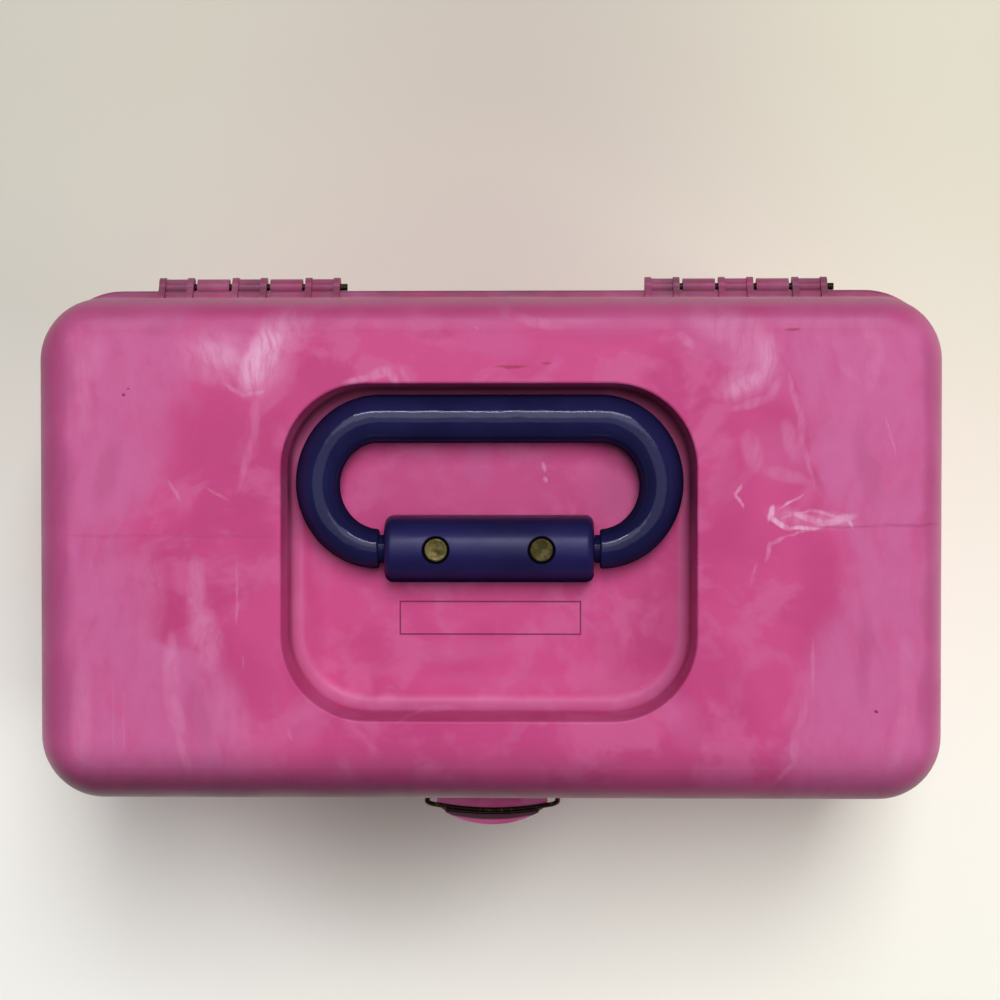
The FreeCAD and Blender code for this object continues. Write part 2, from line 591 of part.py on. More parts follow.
def rivet_washer():
    disc = rod_z(RIVET_X, HANDLE_Y, WASHER_RADIUS, FLOOR_UNDER - WASHER_THICKNESS, FLOOR_UNDER)
    return disc.cut(rod_z(RIVET_X, HANDLE_Y, RIVET_SHANK_RADIUS, FLOOR_UNDER - 2, FLOOR_UNDER + 1))


# ---- latch --------------------------------------------------------------------------------------
def latch_lever():
    y_in = LEVER_PIVOT_Y - LUG_RADIUS - LEVER_LUG_GAP
    y_out = y_in - LEVER_PLATE
    top = LEVER_PIVOT_Z + LEVER_HEAD
    low = LEVER_PIVOT_Z - LEVER_TAIL
    bend = low + LEVER_FLARE_HEIGHT
    half = LEVER_HALF_WIDTH
    outline = [(y_in, top), (y_in, bend), (y_in - LEVER_FLARE, low),
               (y_out - LEVER_FLARE, low), (y_out, bend), (y_out, top)]
    plate = profile_x(outline, -half, half)
    corners = [edge for edge in flat_edges(plate) if edge.BoundBox.ZMax < low + 1e-4]
    plate = plate.makeFillet(LEVER_CORNER, corners)
    cheek_back = LEVER_PIVOT_Y + LUG_RADIUS
    cheek_low = WIRE_PIVOT_Z - 2 * LUG_RADIUS
    cheek = profile_x([(y_in, LEVER_PIVOT_Z), (cheek_back, LEVER_PIVOT_Z), (cheek_back, WIRE_PIVOT_Z),
                       (y_in, cheek_low)], half - LEVER_CHEEK, half)
    eye = rod_x(LEVER_PIVOT_Y, LEVER_PIVOT_Z, LUG_RADIUS, half - LEVER_CHEEK, half)
    solid = fuse([plate] + both_sides([cheek, eye]))
    holes = [rod_x(LEVER_PIVOT_Y, LEVER_PIVOT_Z, LEVER_PIN_RADIUS + RUNNING_GAP, -half, half),
             rod_x(WIRE_PIVOT_Y, WIRE_PIVOT_Z, WIRE_RADIUS + RUNNING_GAP, -half, half)]
    return cut_all(solid, holes)


def latch_bail():
    bar_z = SHELF_TOP + WIRE_GAP + WIRE_RADIUS
    shoulder_y = -(HALF_Y + WIRE_SHOULDER_REACH)
    foot_x = LEVER_HALF_WIDTH - LEVER_CHEEK
    right = [V(foot_x, WIRE_PIVOT_Y, WIRE_PIVOT_Z), V(WIRE_HALF_SPAN, WIRE_PIVOT_Y, WIRE_PIVOT_Z),
             V(WIRE_HALF_SPAN, shoulder_y, bar_z)]
    left = [V(-spot.x, spot.y, spot.z) for spot in reversed(right)]
    points = right + [V(0, shoulder_y - WIRE_BOW, bar_z)] + left
    radii = [WIRE_FOOT_CORNER, WIRE_CORNER, WIRE_BOW_RADIUS, WIRE_CORNER, WIRE_FOOT_CORNER]
    return wire_solid(rounded_path(points, radii), WIRE_RADIUS)


def latch_pivot_pin():
    return rod_x(LEVER_PIVOT_Y, LEVER_PIVOT_Z, LEVER_PIN_RADIUS, -LEVER_HALF_WIDTH, LEVER_HALF_WIDTH)


# ---- trays and arms -----------------------------------------------------------------------------
def tray_tub(half_x, floor, top):
    middle = (TRAY_FRONT + TRAY_REAR) / 2
    half_y = (TRAY_REAR - TRAY_FRONT) / 2
    outer = upright_block(half_x, half_y, TRAY_CORNER, floor, top, middle)
    inner = upright_block(half_x - TRAY_WALL, half_y - TRAY_WALL, TRAY_CORNER - TRAY_WALL,
                          floor + TRAY_WALL, top + 1, middle)
    return round_level_edges(outer.cut(inner), top, TRAY_RIM_ROUND)


def tray_ear(pivot, base_z, x0, x1):
    """A tab from the tray's side wall up to a round eye."""
    y, z = pivot
    base_y = min(y, TRAY_REAR - TRAY_CORNER - BOSS_RADIUS)
    outline = [(base_y - BOSS_RADIUS, base_z), (base_y + BOSS_RADIUS, base_z),
               (y + BOSS_RADIUS, z), (y - BOSS_RADIUS, z)]
    return profile_x(outline, x0, x1).fuse(rod_x(y, z, BOSS_RADIUS, x0, x1))


def arm_point(row, share):
    """A point of a link arm: share 0 is its body pivot, 1 its upper tray pivot."""
    y, z = ARM_PIVOTS[row]
    return (y - ARM_FORWARD * share, z + ARM_RISE * share)


def divider_ribs(x, y0, y1, floor, top):
    """Four small upright ribs that hold one removable divider at x."""
    ribs = []
    for side in (-1, 1):
        inner = x + side * (DIVIDER_THICKNESS / 2 + SIDE_GAP)
        outer = inner + side * DIVIDER_RIB
        for start, end in ((y0 - 0.2, y0 + DIVIDER_RIB), (y1 - DIVIDER_RIB, y1 + 0.2)):
            ribs.append(box(min(inner, outer), max(inner, outer), start, end, floor, top))
    return ribs


def upper_tray():
    floor = UPPER_FLOOR
    inside = UPPER_TRAY_X - TRAY_WALL
    row = TRAY_FRONT + UPPER_ROW_Y
    shapes = [tray_tub(UPPER_TRAY_X, floor, UPPER_TOP)]
    shapes.append(box(-inside - 0.5, inside + 0.5, row, row + TRAY_WALL, floor + 1, UPPER_TOP - TRAY_WALL))
    shapes.append(box(-TRAY_WALL / 2, TRAY_WALL / 2, row, TRAY_REAR - 1, floor + 1, UPPER_TOP - TRAY_WALL))
    for x in UPPER_DIVIDERS:
        shapes += divider_ribs(x, TRAY_FRONT + TRAY_WALL, row, floor + 1, UPPER_TOP - TRAY_WALL)
    shapes += both_sides([tray_ear(LID_PIVOT, UPPER_TOP - 2 * BOSS_RADIUS, inside, UPPER_TRAY_X)])
    y, z = LID_PIVOT
    holes = both_sides([rod_x(y, z, ARM_RIVET_RADIUS + RUNNING_GAP, inside - 1, UPPER_TRAY_X + 1)])
    for arm_row in ARM_PIVOTS:
        y, z = arm_point(arm_row, 1)
        holes += both_sides([rod_x(y, z, ARM_RIVET_RADIUS, inside - 1, UPPER_TRAY_X + 1)])
    return cut_all(fuse(shapes), holes)


def lower_tray():
    inside = LOWER_TRAY_X - TRAY_WALL
    shapes = [tray_tub(LOWER_TRAY_X, LOWER_FLOOR, LOWER_TOP)]
    for x in LOWER_DIVIDERS:
        shapes += divider_ribs(x, TRAY_FRONT + TRAY_WALL, TRAY_REAR - TRAY_WALL, LOWER_FLOOR + 1,
                               LOWER_TOP - TRAY_WALL)
    holes = []
    for arm_row in ARM_PIVOTS:
        y, z = arm_point(arm_row, 0.5)
        shapes += both_sides([tray_ear((y, z), LOWER_TOP - 2 * BOSS_RADIUS, inside, LOWER_TRAY_X)])
        holes += both_sides([rod_x(y, z, ARM_RIVET_RADIUS, inside - 1, LOWER_TRAY_X + 1)])
    return cut_all(fuse(shapes), holes)


def dividers(places, y0, y1, floor, top):
    half = DIVIDER_THICKNESS / 2
    plates = [box(x - half, x + half, y0 + SIDE_GAP, y1 - SIDE_GAP, floor + TRAY_WALL, top - TRAY_WALL)
              for x in places]
    return Part.Compound(plates)


def link_arm(row):
    """A flat arm with three rivet holes, drawn at +X."""
    start = arm_point(row, 0)
    end = arm_point(row, 1)
    across = (ARM_RISE / ARM_LENGTH * ARM_HALF_WIDTH, ARM_FORWARD / ARM_LENGTH * ARM_HALF_WIDTH)
    outline = [(start[0] + across[0], start[1] + across[1]), (end[0] + across[0], end[1] + across[1]),
               (end[0] - across[0], end[1] - across[1]), (start[0] - across[0], start[1] - across[1])]
    eyes = [rod_x(y, z, ARM_HALF_WIDTH, ARM_IN, ARM_OUT) for y, z in (start, end)]
    plate = fuse([profile_x(outline, ARM_IN, ARM_OUT)] + eyes)
    centres = [arm_point(row, share) for share in (0, 0.5, 1)]
    radius = ARM_RIVET_RADIUS + RUNNING_GAP
    return cut_all(plate, [rod_x(y, z, radius, ARM_IN - 1, ARM_OUT + 1) for y, z in centres])


def rivet_x(pivot, spans):
    """One turned rivet along X from (radius, x0, x1) stretches."""
    y, z = pivot
    return fuse([rod_x(y, z, radius, x0, x1) for radius, x0, x1 in spans])


def arm_rivets():
    shank = ARM_RIVET_RADIUS
    head = ARM_RIVET_HEAD
    inner = ARM_IN - SIDE_GAP
    outer = ARM_OUT + SIDE_GAP
    on_body = []
    on_lower = []
    on_upper = []
    for row in ARM_PIVOTS:
        spans = [(head, inner - ARM_HEAD_HEIGHT, inner), (shank, inner, INNER_X - 1)]
        on_body.append(rivet_x(arm_point(row, 0), spans))
        for share, tray_x, group in ((0.5, LOWER_TRAY_X, on_lower), (1, UPPER_TRAY_X, on_upper)):
            wall = tray_x - TRAY_WALL
            spans = [(head, wall - TRAY_HEAD_HEIGHT, wall), (shank, wall, outer),
                     (ARM_COLLAR_RADIUS, tray_x, inner), (head, outer, outer + ARM_HEAD_HEIGHT)]
            group.append(rivet_x(arm_point(row, share), spans))
    groups = {"body_arm_rivets": on_body, "lower_tray_rivets": on_lower, "upper_tray_rivets": on_upper}
    return {name: Part.Compound(both_sides(group)) for name, group in groups.items()}


def lid_tray_pins():
    wall = UPPER_TRAY_X - TRAY_WALL
    spans = [(ARM_RIVET_HEAD, wall - SIDE_GAP - ARM_HEAD_HEIGHT, wall - SIDE_GAP),
             (ARM_RIVET_RADIUS, wall - SIDE_GAP, LID_PIN_END)]
    return Part.Compound(both_sides([rivet_x(LID_PIVOT, spans)]))


# ---- mirror -------------------------------------------------------------------------------------
def mirror_frame():
    half_x = MIRROR_LENGTH / 2
    half_y = MIRROR_WIDTH / 2
    border = FRAME_BORDER
    outer = upright_block(half_x + border, half_y + border, FRAME_CORNER, FRAME_BOTTOM, FRAME_TOP)
    outer = round_level_edges(outer, FRAME_BOTTOM, FRAME_ROUND)
    window = upright_block(half_x - MIRROR_LIP, half_y - MIRROR_LIP, FRAME_CORNER / 2, FRAME_BOTTOM - 1,
                           FRAME_TOP)
    rebate = box(-half_x - GLASS_GAP, half_x + GLASS_GAP, -half_y - GLASS_GAP, half_y + GLASS_GAP,
                 FRAME_BOTTOM + FRAME_FACE, FRAME_TOP + 1)
    holes = []
    for sign in (-1, 1):
        holes += both_sides([rod_z(SCREW_X, sign * SCREW_Y, SCREW_RADIUS, FRAME_BOTTOM - 1, FRAME_TOP + 1)])
    return cut_all(outer, [window, rebate] + holes)


def mirror_glass():
    low = FRAME_BOTTOM + FRAME_FACE
    half_x = MIRROR_LENGTH / 2
    half_y = MIRROR_WIDTH / 2
    return box(-half_x, half_x, -half_y, half_y, low, low + MIRROR_THICKNESS)


def mirror_screws():
    screws = []
    for sign in (-1, 1):
        head = rod_z(SCREW_X, sign * SCREW_Y, SCREW_HEAD_RADIUS, FRAME_BOTTOM - SCREW_RADIUS, FRAME_BOTTOM)
        shank = rod_z(SCREW_X, sign * SCREW_Y, SCREW_RADIUS, FRAME_BOTTOM, FRAME_BOTTOM + SCREW_LENGTH)
        screws.append(fuse([head, shank]))
    return Part.Compound(both_sides(screws))


# ---- the whole case -----------------------------------------------------------------------------
def all_nodes():
    front = TRAY_FRONT + TRAY_WALL
    rear = TRAY_REAR - TRAY_WALL
    row = TRAY_FRONT + UPPER_ROW_Y
    nodes = {
        "body_shell": body_shell(),
        "lid_shell": lid_shell(),
        "handle_bail": handle_bail(),
        "handle_barrel": handle_barrel(),
        "handle_rivets": Part.Compound(both_sides([handle_rivet()])),
        "rivet_washers": Part.Compound(both_sides([rivet_washer()])),
        "latch_lever": latch_lever(),
        "latch_bail": latch_bail(),
        "latch_pivot_pin": latch_pivot_pin(),
        "upper_tray": upper_tray(),
        "lower_tray": lower_tray(),
        "upper_tray_dividers": dividers(UPPER_DIVIDERS, front, row, UPPER_FLOOR, UPPER_TOP),
        "lower_tray_dividers": dividers(LOWER_DIVIDERS, front, rear, LOWER_FLOOR, LOWER_TOP),
        "lid_tray_pins": lid_tray_pins(),
        "mirror_frame": mirror_frame(),
        "mirror_glass": mirror_glass(),
        "mirror_screws": mirror_screws(),
    }
    for arm_row in ARM_PIVOTS:
        nodes["right_%s_arm" % arm_row] = link_arm(arm_row)
        nodes["left_%s_arm" % arm_row] = flip_x(link_arm(arm_row))
    nodes.update(hinge_pins())
    nodes.update(arm_rivets())
    return nodes


def main():
    os.makedirs("parts", exist_ok=True)
    for name, shape in all_nodes().items():
        solids = len(shape.Solids)
        state = "ok" if shape.isValid() else "NOT VALID"
        print("%-22s solids %d volume %10.1f %s" % (name, solids, shape.Volume, state))
        shape.exportStep("parts/%s.step" % name)


main()
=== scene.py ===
import math

import bmesh
import bpy
from mathutils import Euler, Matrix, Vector


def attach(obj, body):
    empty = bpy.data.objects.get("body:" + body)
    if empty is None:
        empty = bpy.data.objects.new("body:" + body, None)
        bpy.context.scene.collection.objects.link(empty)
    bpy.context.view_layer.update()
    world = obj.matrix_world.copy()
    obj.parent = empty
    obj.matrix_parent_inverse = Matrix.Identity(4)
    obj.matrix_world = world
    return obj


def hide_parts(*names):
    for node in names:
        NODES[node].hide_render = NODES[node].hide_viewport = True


# A makeup case in marbled pink plastic: navy folding handle, brass rivets, wire latch, trays and a
# mirror inside. Millimetres in the values below, metres in the scene.

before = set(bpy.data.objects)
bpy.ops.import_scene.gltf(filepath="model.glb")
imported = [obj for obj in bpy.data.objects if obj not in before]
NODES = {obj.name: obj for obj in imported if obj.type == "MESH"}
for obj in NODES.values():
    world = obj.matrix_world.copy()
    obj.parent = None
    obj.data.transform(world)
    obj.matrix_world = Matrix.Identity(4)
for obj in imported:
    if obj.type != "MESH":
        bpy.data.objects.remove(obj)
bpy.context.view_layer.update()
MM = 0.001

# ---- view and light -----------------------------------------------------------------------------
CAMERA_PLACE = (20.76, 30.37, 889.92)
CAMERA_TURN = (-1.127, 1.335, -0.02)   # degrees
CAMERA_LENS = 81.21
CAMERA_SENSOR = 36.0
CAMERA_NEAR = 10.0
FLOOR_SIZE = 8000.0
AMBIENT = 0.13
HORIZON_GLOW = 0.45
CEILING_GLOW = 0.05
HORIZON_BAND = (0.05, 0.2)             # upward share of a direction: from horizon to ceiling
WHITE = (1.0, 1.0, 1.0)
SHEEN_BLUE = (0.78, 0.78, 1.0)
# Lamps: place, aim, size, watts, tint, whether it lights the object, whether it shines in its gloss.
LAMPS = {
    "soft_box": ((340, 1340, 4100), (0, 0, 100), (1500, 2500), 154.0, WHITE, True, False),
    "side_fill": ((3000, -600, 3000), (0, 0, 100), (1400, 1400), 34.0, WHITE, True, False),
    "sheen_panel": ((0, 740, 1900), (0, 0, 150), (1700, 800), 8.0, SHEEN_BLUE, False, True),
    "sheen_front": ((0, -60, 1900), (0, 0, 150), (1700, 900), 3.0, SHEEN_BLUE, False, True),
    "sheen_strip": ((0, 1170, 1900), (0, 0, 150), (1500, 40), 8.0, SHEEN_BLUE, False, True),
}

# ---- colours, as sRGB values (0 to 255) ----------------------------------------------------------
MAGENTA = (197, 71, 129)
DEEP_PINK = (180, 56, 112)
ROSE = (200, 90, 142)
MAUVE = (158, 66, 112)
# painted shade, for the lid's front shoulder and the recess's walls
DUSK = (98, 42, 68)
# a greyish painted sheen with painted shade, for the lid's rear rim
REAR_RIM_SHEEN_SHADE = (160, 101, 127)
# painted shade with a grey reflection, for the lid's rear wall by the hinge
REAR_WALL_SHADE = (106, 61, 77)
LILAC = (196, 98, 150)
PALE = (210, 128, 172)
FLARE = (236, 188, 216)
# painted shadow in the panel's groove and the recess's rear corners; also the colour of the specks and
# knit lines
SHADOW_AND_SPECK_PINK = (120, 30, 66)
SCRATCH_RED = (150, 40, 46)
# painted shadow, for the catch's valley under the wire
VALLEY_SHADE = (34, 27, 20)
NAVY = (29, 28, 71)
NAVY_DARK = (18, 17, 50)
NAVY_SATIN = (29, 25, 78)
SCUFF = (96, 96, 136)
# painted shade, for the navy handle's low side and its rivet wells
SHADE_BLACK = (10, 9, 16)
BRASS = (140, 128, 72)
BRASS_DARK = (88, 78, 42)
BRASS_GREEN = (112, 112, 64)
WIRE_BROWN = (52, 46, 34)
STEEL = (190, 188, 184)
STEEL_DARK = (140, 138, 134)
RUST = (120, 78, 52)
TRAY_PINK = (214, 128, 168)
TRAY_PINK_DEEP = (205, 112, 156)
DUST = (232, 206, 200)
SILVER = (226, 228, 230)
SILVER_SMUDGE = (214, 216, 220)
WALL_PALE = (238, 236, 233)
# the floor's colours are painted light: darker at the rear and behind the case, lighter to the front and
# right
FLOOR_REAR_LEFT = (210, 207, 194)
FLOOR_REAR_MIDDLE = (205, 198, 187)
FLOOR_REAR_RIGHT = (226, 222, 203)
FLOOR_DUSK = (176, 172, 164)
FLOOR_FRONT_LEFT = (252, 252, 247)
FLOOR_FRONT_RIGHT = (253, 252, 240)


def light_value(channel):
    """The linear light of one channel, by the sRGB curve."""
    share = channel / 255
    return share / 12.92 if share <= 0.04045 else ((share + 0.055) / 1.055) ** 2.4


def colour(values, alpha=1.0):
    """A node's colour from sRGB values."""
    return tuple(light_value(channel) for channel in values) + (alpha,)


# ---- node helpers -------------------------------------------------------------------------------
def put(tree, kind, inputs=None, **settings):
    """Adds a node, sets it up, and links or sets its inputs."""
    node = tree.nodes.new(kind)
    for name, value in settings.items():
        setattr(node, name, value)
    for key, value in (inputs or {}).items():
        if isinstance(value, bpy.types.NodeSocket):
            tree.links.new(value, node.inputs[key])
        else:
            node.inputs[key].default_value = value
    return node


def calc(tree, operation, a, b=0.0, clamp=False):
    return put(tree, "ShaderNodeMath", {0: a, 1: b}, operation=operation, use_clamp=clamp).outputs[0]


def vector(tree, operation, a, b=(0.0, 0.0, 0.0)):
    node = put(tree, "ShaderNodeVectorMath", {0: a, 1: b}, operation=operation)
    return node.outputs["Value" if operation in ("LENGTH", "DOT_PRODUCT", "DISTANCE") else "Vector"]


def product(tree, *shares):
    result = shares[0]
    for share in shares[1:]:
        result = calc(tree, "MULTIPLY", result, share)
    return result


def size_of(tree, value):
    return calc(tree, "ABSOLUTE", value)


def mixed(tree, share, a, b):
    return put(tree, "ShaderNodeMix", {0: share, 2: a, 3: b}).outputs[0]


def split(tree, place):
    return put(tree, "ShaderNodeSeparateXYZ", {0: place}).outputs


def scaled(tree, a, factor):
    return put(tree, "ShaderNodeVectorMath", {0: a, "Scale": factor}, operation="SCALE").outputs[0]


def smooth(tree, value, low, high, start=0.0, end=1.0):
    """Goes softly from start to end while value goes from low to high."""
    inputs = {"Value": value, "From Min": low, "From Max": high, "To Min": start, "To Max": end}
    return put(tree, "ShaderNodeMapRange", inputs, interpolation_type="SMOOTHSTEP").outputs["Result"]


def blend(tree, share, a, b, kind="MIX"):
    node = put(tree, "ShaderNodeMix", {0: share, 6: a, 7: b}, data_type="RGBA", blend_type=kind)
    return node.outputs[2]


def noise(tree, place, size, detail=2.0, roughness=0.5, distortion=0.0):
    """Noise with features about size millimetres across; place is in millimetres."""
    inputs = {"Vector": place, "Scale": 1 / size, "Detail": detail, "Roughness": roughness,
              "Distortion": distortion}
    return put(tree, "ShaderNodeTexNoise", inputs).outputs["Fac"]


def stretched(tree, place, stretch, turn=(0.0, 0.0, 0.0)):
    angles = tuple(math.radians(angle) for angle in turn)
    inputs = {"Vector": place, "Rotation": angles, "Scale": stretch}
    return put(tree, "ShaderNodeMapping", inputs, vector_type="POINT").outputs[0]


def warped(tree, place, size, reach, detail=2.0):
    """place, pushed about by up to reach millimetres by a noise of that size."""
    inputs = {"Vector": place, "Scale": 1 / size, "Detail": detail}
    push = put(tree, "ShaderNodeTexNoise", inputs).outputs["Color"]
    centred = vector(tree, "SUBTRACT", push, (0.5, 0.5, 0.5))
    return vector(tree, "ADD", place, scaled(tree, centred, 2 * reach))


def new_material(name):
    material = bpy.data.materials.new(name)
    material.use_nodes = True
    tree = material.node_tree
    tree.nodes.clear()
    where = put(tree, "ShaderNodeTexCoord").outputs["Object"]
    return material, tree, scaled(tree, where, 1000.0)


def finish(tree, inputs, bump=None):
    """Adds the surface shader; bump is (height, reach in millimetres)."""
    if bump:
        height, reach = bump
        bump_inputs = {"Height": height, "Strength": 1.0, "Distance": reach * MM}
        inputs["Normal"] = put(tree, "ShaderNodeBump", bump_inputs).outputs[0]
    shader = put(tree, "ShaderNodeBsdfPrincipled", inputs)
    put(tree, "ShaderNodeOutputMaterial", {"Surface": shader.outputs[0]})


# ---- marbled plastic ----------------------------------------------------------------------------
# The lid's marbling is laid out on a plan of the lid: squares across from the left, squares down.
PLAN_SCALE = 3.09
PLAN_MIDDLE = (490, 551)
PLAN_SPAN = 1000.0          # the plan's length and width
LAP = (1.5, 1.2)            # how far each stroke of a smear runs into the next, and spreads
TURN_STEPS = 6              # strokes lie at whole steps of 15 degrees
STREAK_STRETCH = (1.0, 0.22, 0.6)

# Borders of the two lilac fields, as (down, across) points, and how softly they end.
LEFT_LILAC = ((300, 196), (388, 182), (430, 173), (465, 163), (500, 145), (535, 126), (570, 134),
              (600, 140), (640, 152), (662, 218), (700, 231), (740, 236), (790, 250))
RIGHT_LILAC = ((300, 772), (388, 792), (430, 806), (482, 816), (520, 836), (567, 852), (599, 847),
               (648, 816), (697, 809), (730, 797), (790, 784))
LILAC_EDGE = 20.0

# Painted shade on the lid's shoulders, and a greyish painted sheen with shade on its rear rim: ranges down
# the plan, and across it for the front one's strength.
REAR_SHADE = (304.0, 342.0)
REAR_RIM = (297.0, 312.0)
FRONT_SHADE = (740.0, 797.0)
FRONT_SHADE_LESSENS = (380.0, 820.0)

# Heights and distances on the closed case, in millimetres; each pair is where a soft change
# starts and ends.
TOP_STARTS = (105.0, 126.0)          # where the lid's own layout starts: in the recess, around it
TOP_BLEND = 24.0                     # how much further up it has come in fully
SHOULDER = (122.0, 137.0)
RECESS_SIDE = (73.0, 77.0)
RECESS_END = (57.0, 61.0)
FOOT_STARTS = (138.95, 139.6)        # the foot of the recess's wall
FOOT_ENDS = (141.5, 145.0)
WALL_STARTS = (139.5, 147.0)
WALL_ENDS = (148.6, 149.8)
WALL_DARKENS = (-50.0, -25.0)        # from the front wall rearward
CATCH_BOW = 0.008                    # bend of the catch's valley, per millimetre
VALLEY_STARTS = (-94.7, -93.9)
VALLEY_ENDS = (-91.8, -91.0)
CATCH_ENDS = (-88.0, -86.5)
CATCH_SIDE = (17.0, 20.0)
CATCH_HEIGHT = (110.0, 112.0)
HINGE_LINE = (83.5, 86.0)
PANEL_HALF_SIZE = (31.0, 6.5)
PANEL_LINE = -23.7
GROOVE_BOTTOM = 138.3
GROOVE_REACH = (0.25, 0.45)

# Smears: strength, softness of the edge (0 to 1), then across, down and half width along the smear.
DEEP_SMEARS = (
    (0.50, 1.0, (190, 425, 40), (262, 440, 44)),
    (0.35, 1.0, (245, 500, 24), (262, 545, 20)),
    (0.50, 0.8, (148, 552, 12), (165, 596, 24), (172, 640, 18)),
    (0.40, 1.0, (232, 650, 26), (262, 700, 24)),
    (0.45, 0.9, (812, 545, 26), (828, 588, 22)),
    (0.40, 1.0, (742, 450, 24), (725, 560, 26)),
    (0.45, 1.0, (300, 322, 12), (350, 314, 10)),
    (0.40, 0.9, (364, 312, 4), (384, 311, 5)),
    (0.40, 0.9, (416, 334, 5), (454, 333, 6)),
    (0.40, 1.0, (560, 335, 12), (640, 340, 10)),
    (0.50, 0.8, (806, 436, 2.5), (809, 466, 5), (820, 488, 6)),
    (0.55, 0.8, (229, 376, 2), (240, 392, 3)),
    (0.35, 0.9, (772, 340, 3), (786, 372, 5), (800, 398, 3)),
    # painted shade along the front of the lid's top
    (0.35, 1.0, (430, 740, 26), (560, 744, 26)),
    (0.35, 1.0, (712, 650, 28), (745, 715, 26)),
    (0.30, 1.0, (380, 500, 12), (382, 560, 10)),
    (0.30, 1.0, (585, 495, 22), (600, 545, 18)),
    (0.35, 1.0, (340, 640, 22), (380, 668, 18)),
    (0.30, 1.0, (600, 640, 20), (640, 690, 16)),
    # the last two: painted shade on the recess floor along its side walls
    (0.60, 1.0, (298, 530, 18), (298, 610, 20), (300, 690, 20)),
    (0.60, 1.0, (680, 530, 18), (680, 610, 20), (678, 690, 20)),
)
MAUVE_SMEARS = (
    # the first two: painted shade along the lid's left and right shoulders
    (0.62, 1.0, (50, 320, 24), (52, 430, 22), (50, 540, 24), (52, 650, 23), (58, 745, 24)),
    (0.45, 1.0, (930, 340, 14), (936, 440, 12), (931, 560, 10), (934, 650, 12), (929, 745, 13)),
    (0.30, 1.0, (96, 315, 14), (130, 312, 12)),
    (0.30, 0.9, (148, 328, 10), (172, 324, 9)),
    (0.30, 1.0, (115, 450, 12), (98, 500, 14)),
    (0.28, 1.0, (860, 440, 10), (874, 500, 14)),
    (0.25, 1.0, (870, 620, 8), (860, 700, 10)),
    (0.25, 1.0, (190, 690, 12), (205, 745, 12)),
)
SHADE_SMEARS = (
    (0.34, 1.0, (330, 488, 34), (660, 488, 34)),
    (0.34, 1.0, (604, 470, 26), (622, 512, 24)),
)
LILAC_SMEARS = (
    (0.60, 1.0, (215, 345, 34), (262, 342, 30)),
    (0.55, 1.0, (690, 330, 26), (740, 345, 40), (765, 385, 30)),
    (0.35, 1.0, (770, 440, 34), (790, 470, 28)),
    (0.40, 1.0, (560, 318, 26), (650, 322, 22)),
    (0.35, 1.0, (470, 330, 26), (520, 345, 22)),
    (0.45, 0.9, (483, 448, 14), (478, 486, 16)),
    (0.35, 1.0, (320, 704, 20), (300, 745, 18)),
    (0.35, 1.0, (668, 700, 22), (700, 745, 22)),
    (0.25, 1.0, (320, 520, 12), (312, 590, 14)),
    (0.25, 1.0, (440, 690, 10), (560, 690, 10)),
    (0.30, 1.0, (425, 655, 14), (500, 662, 12)),
    (0.35, 1.0, (860, 350, 20), (890, 420, 22)),
)
PALE_SMEARS = (
    (0.70, 1.0, (194, 350, 26), (240, 366, 34)),
    (0.85, 1.0, (296, 318, 18), (270, 350, 30), (250, 382, 26)),
    (0.30, 1.0, (95, 340, 20), (86, 380, 12), (83, 430, 6)),
    (0.32, 1.0, (258, 400, 5), (254, 440, 5), (240, 484, 3)),
    (0.55, 1.0, (194, 566, 6), (199, 612, 14), (212, 664, 20)),
    (0.60, 1.0, (171, 643, 8), (171, 692, 10), (177, 735, 7), (188, 775, 3)),
    (0.30, 1.0, (150, 560, 16), (150, 640, 18)),
    (0.30, 1.0, (226, 690, 22), (236, 745, 20)),
    (0.45, 0.8, (237, 567, 1.6), (238, 600, 1.8), (236, 624, 1.4)),
    (0.35, 1.0, (78, 680, 11), (83, 760, 12)),
    (0.28, 0.9, (111, 690, 1.2), (114, 760, 1.2)),
    (0.28, 0.9, (121, 696, 1.2), (124, 752, 1.2)),
    (0.45, 0.8, (243, 660, 1.3), (243, 670, 1.3)),
    (0.65, 1.0, (696, 308, 18), (742, 332, 32), (764, 368, 26)),
    (0.65, 1.0, (766, 374, 20), (728, 390, 16)),
    (0.45, 0.9, (779, 382, 4), (770, 400, 6), (735, 410, 5)),
    (0.50, 0.9, (682, 337, 5), (693, 348, 5)),
    (0.45, 0.9, (789, 380, 2.6), (800, 415, 4), (804, 446, 4), (813, 482, 2)),
    (0.35, 1.0, (866, 330, 7), (878, 350, 10), (870, 390, 7)),
    (0.25, 0.9, (843, 370, 4), (860, 384, 5)),
    (0.55, 0.8, (884, 421, 1.3), (898, 455, 1.5)),
    (0.30, 1.0, (908, 640, 7), (907, 700, 11), (898, 768, 9)),
    (0.45, 1.0, (748, 440, 10), (758, 466, 12)),
    (0.40, 1.0, (786, 428, 8), (796, 456, 9)),
    (0.42, 1.0, (770, 472, 9), (803, 482, 7)),
    (0.60, 1.0, (774, 516, 9), (806, 522, 13), (846, 522, 8)),
    (0.65, 0.8, (809, 532, 1.4), (786, 538, 1.8), (772, 546, 2.2), (766, 561, 2.4)),
    (0.35, 0.9, (757, 566, 2), (753, 584, 1.6)),
    (0.45, 0.9, (813, 646, 2.2), (815, 692, 2.2)),
    (0.40, 0.9, (808, 705, 2.4), (797, 735, 5), (794, 765, 4), (774, 788, 2)),
    (0.70, 0.8, (349, 384, 2), (372, 378, 6), (390, 371, 7), (398, 384, 3)),
    (0.50, 1.0, (500, 298, 8), (508, 316, 7)),
    (0.45, 1.0, (516, 320, 7), (556, 326, 5)),
    (0.40, 0.9, (402, 721, 1), (430, 717, 2.4), (454, 716, 3)),
    (0.35, 0.9, (476, 328, 1.6), (480, 332, 1.6)),
    (0.30, 0.9, (404, 370, 3), (410, 384, 2)),
    (0.35, 1.0, (288, 732, 2), (292, 742, 2)),
)
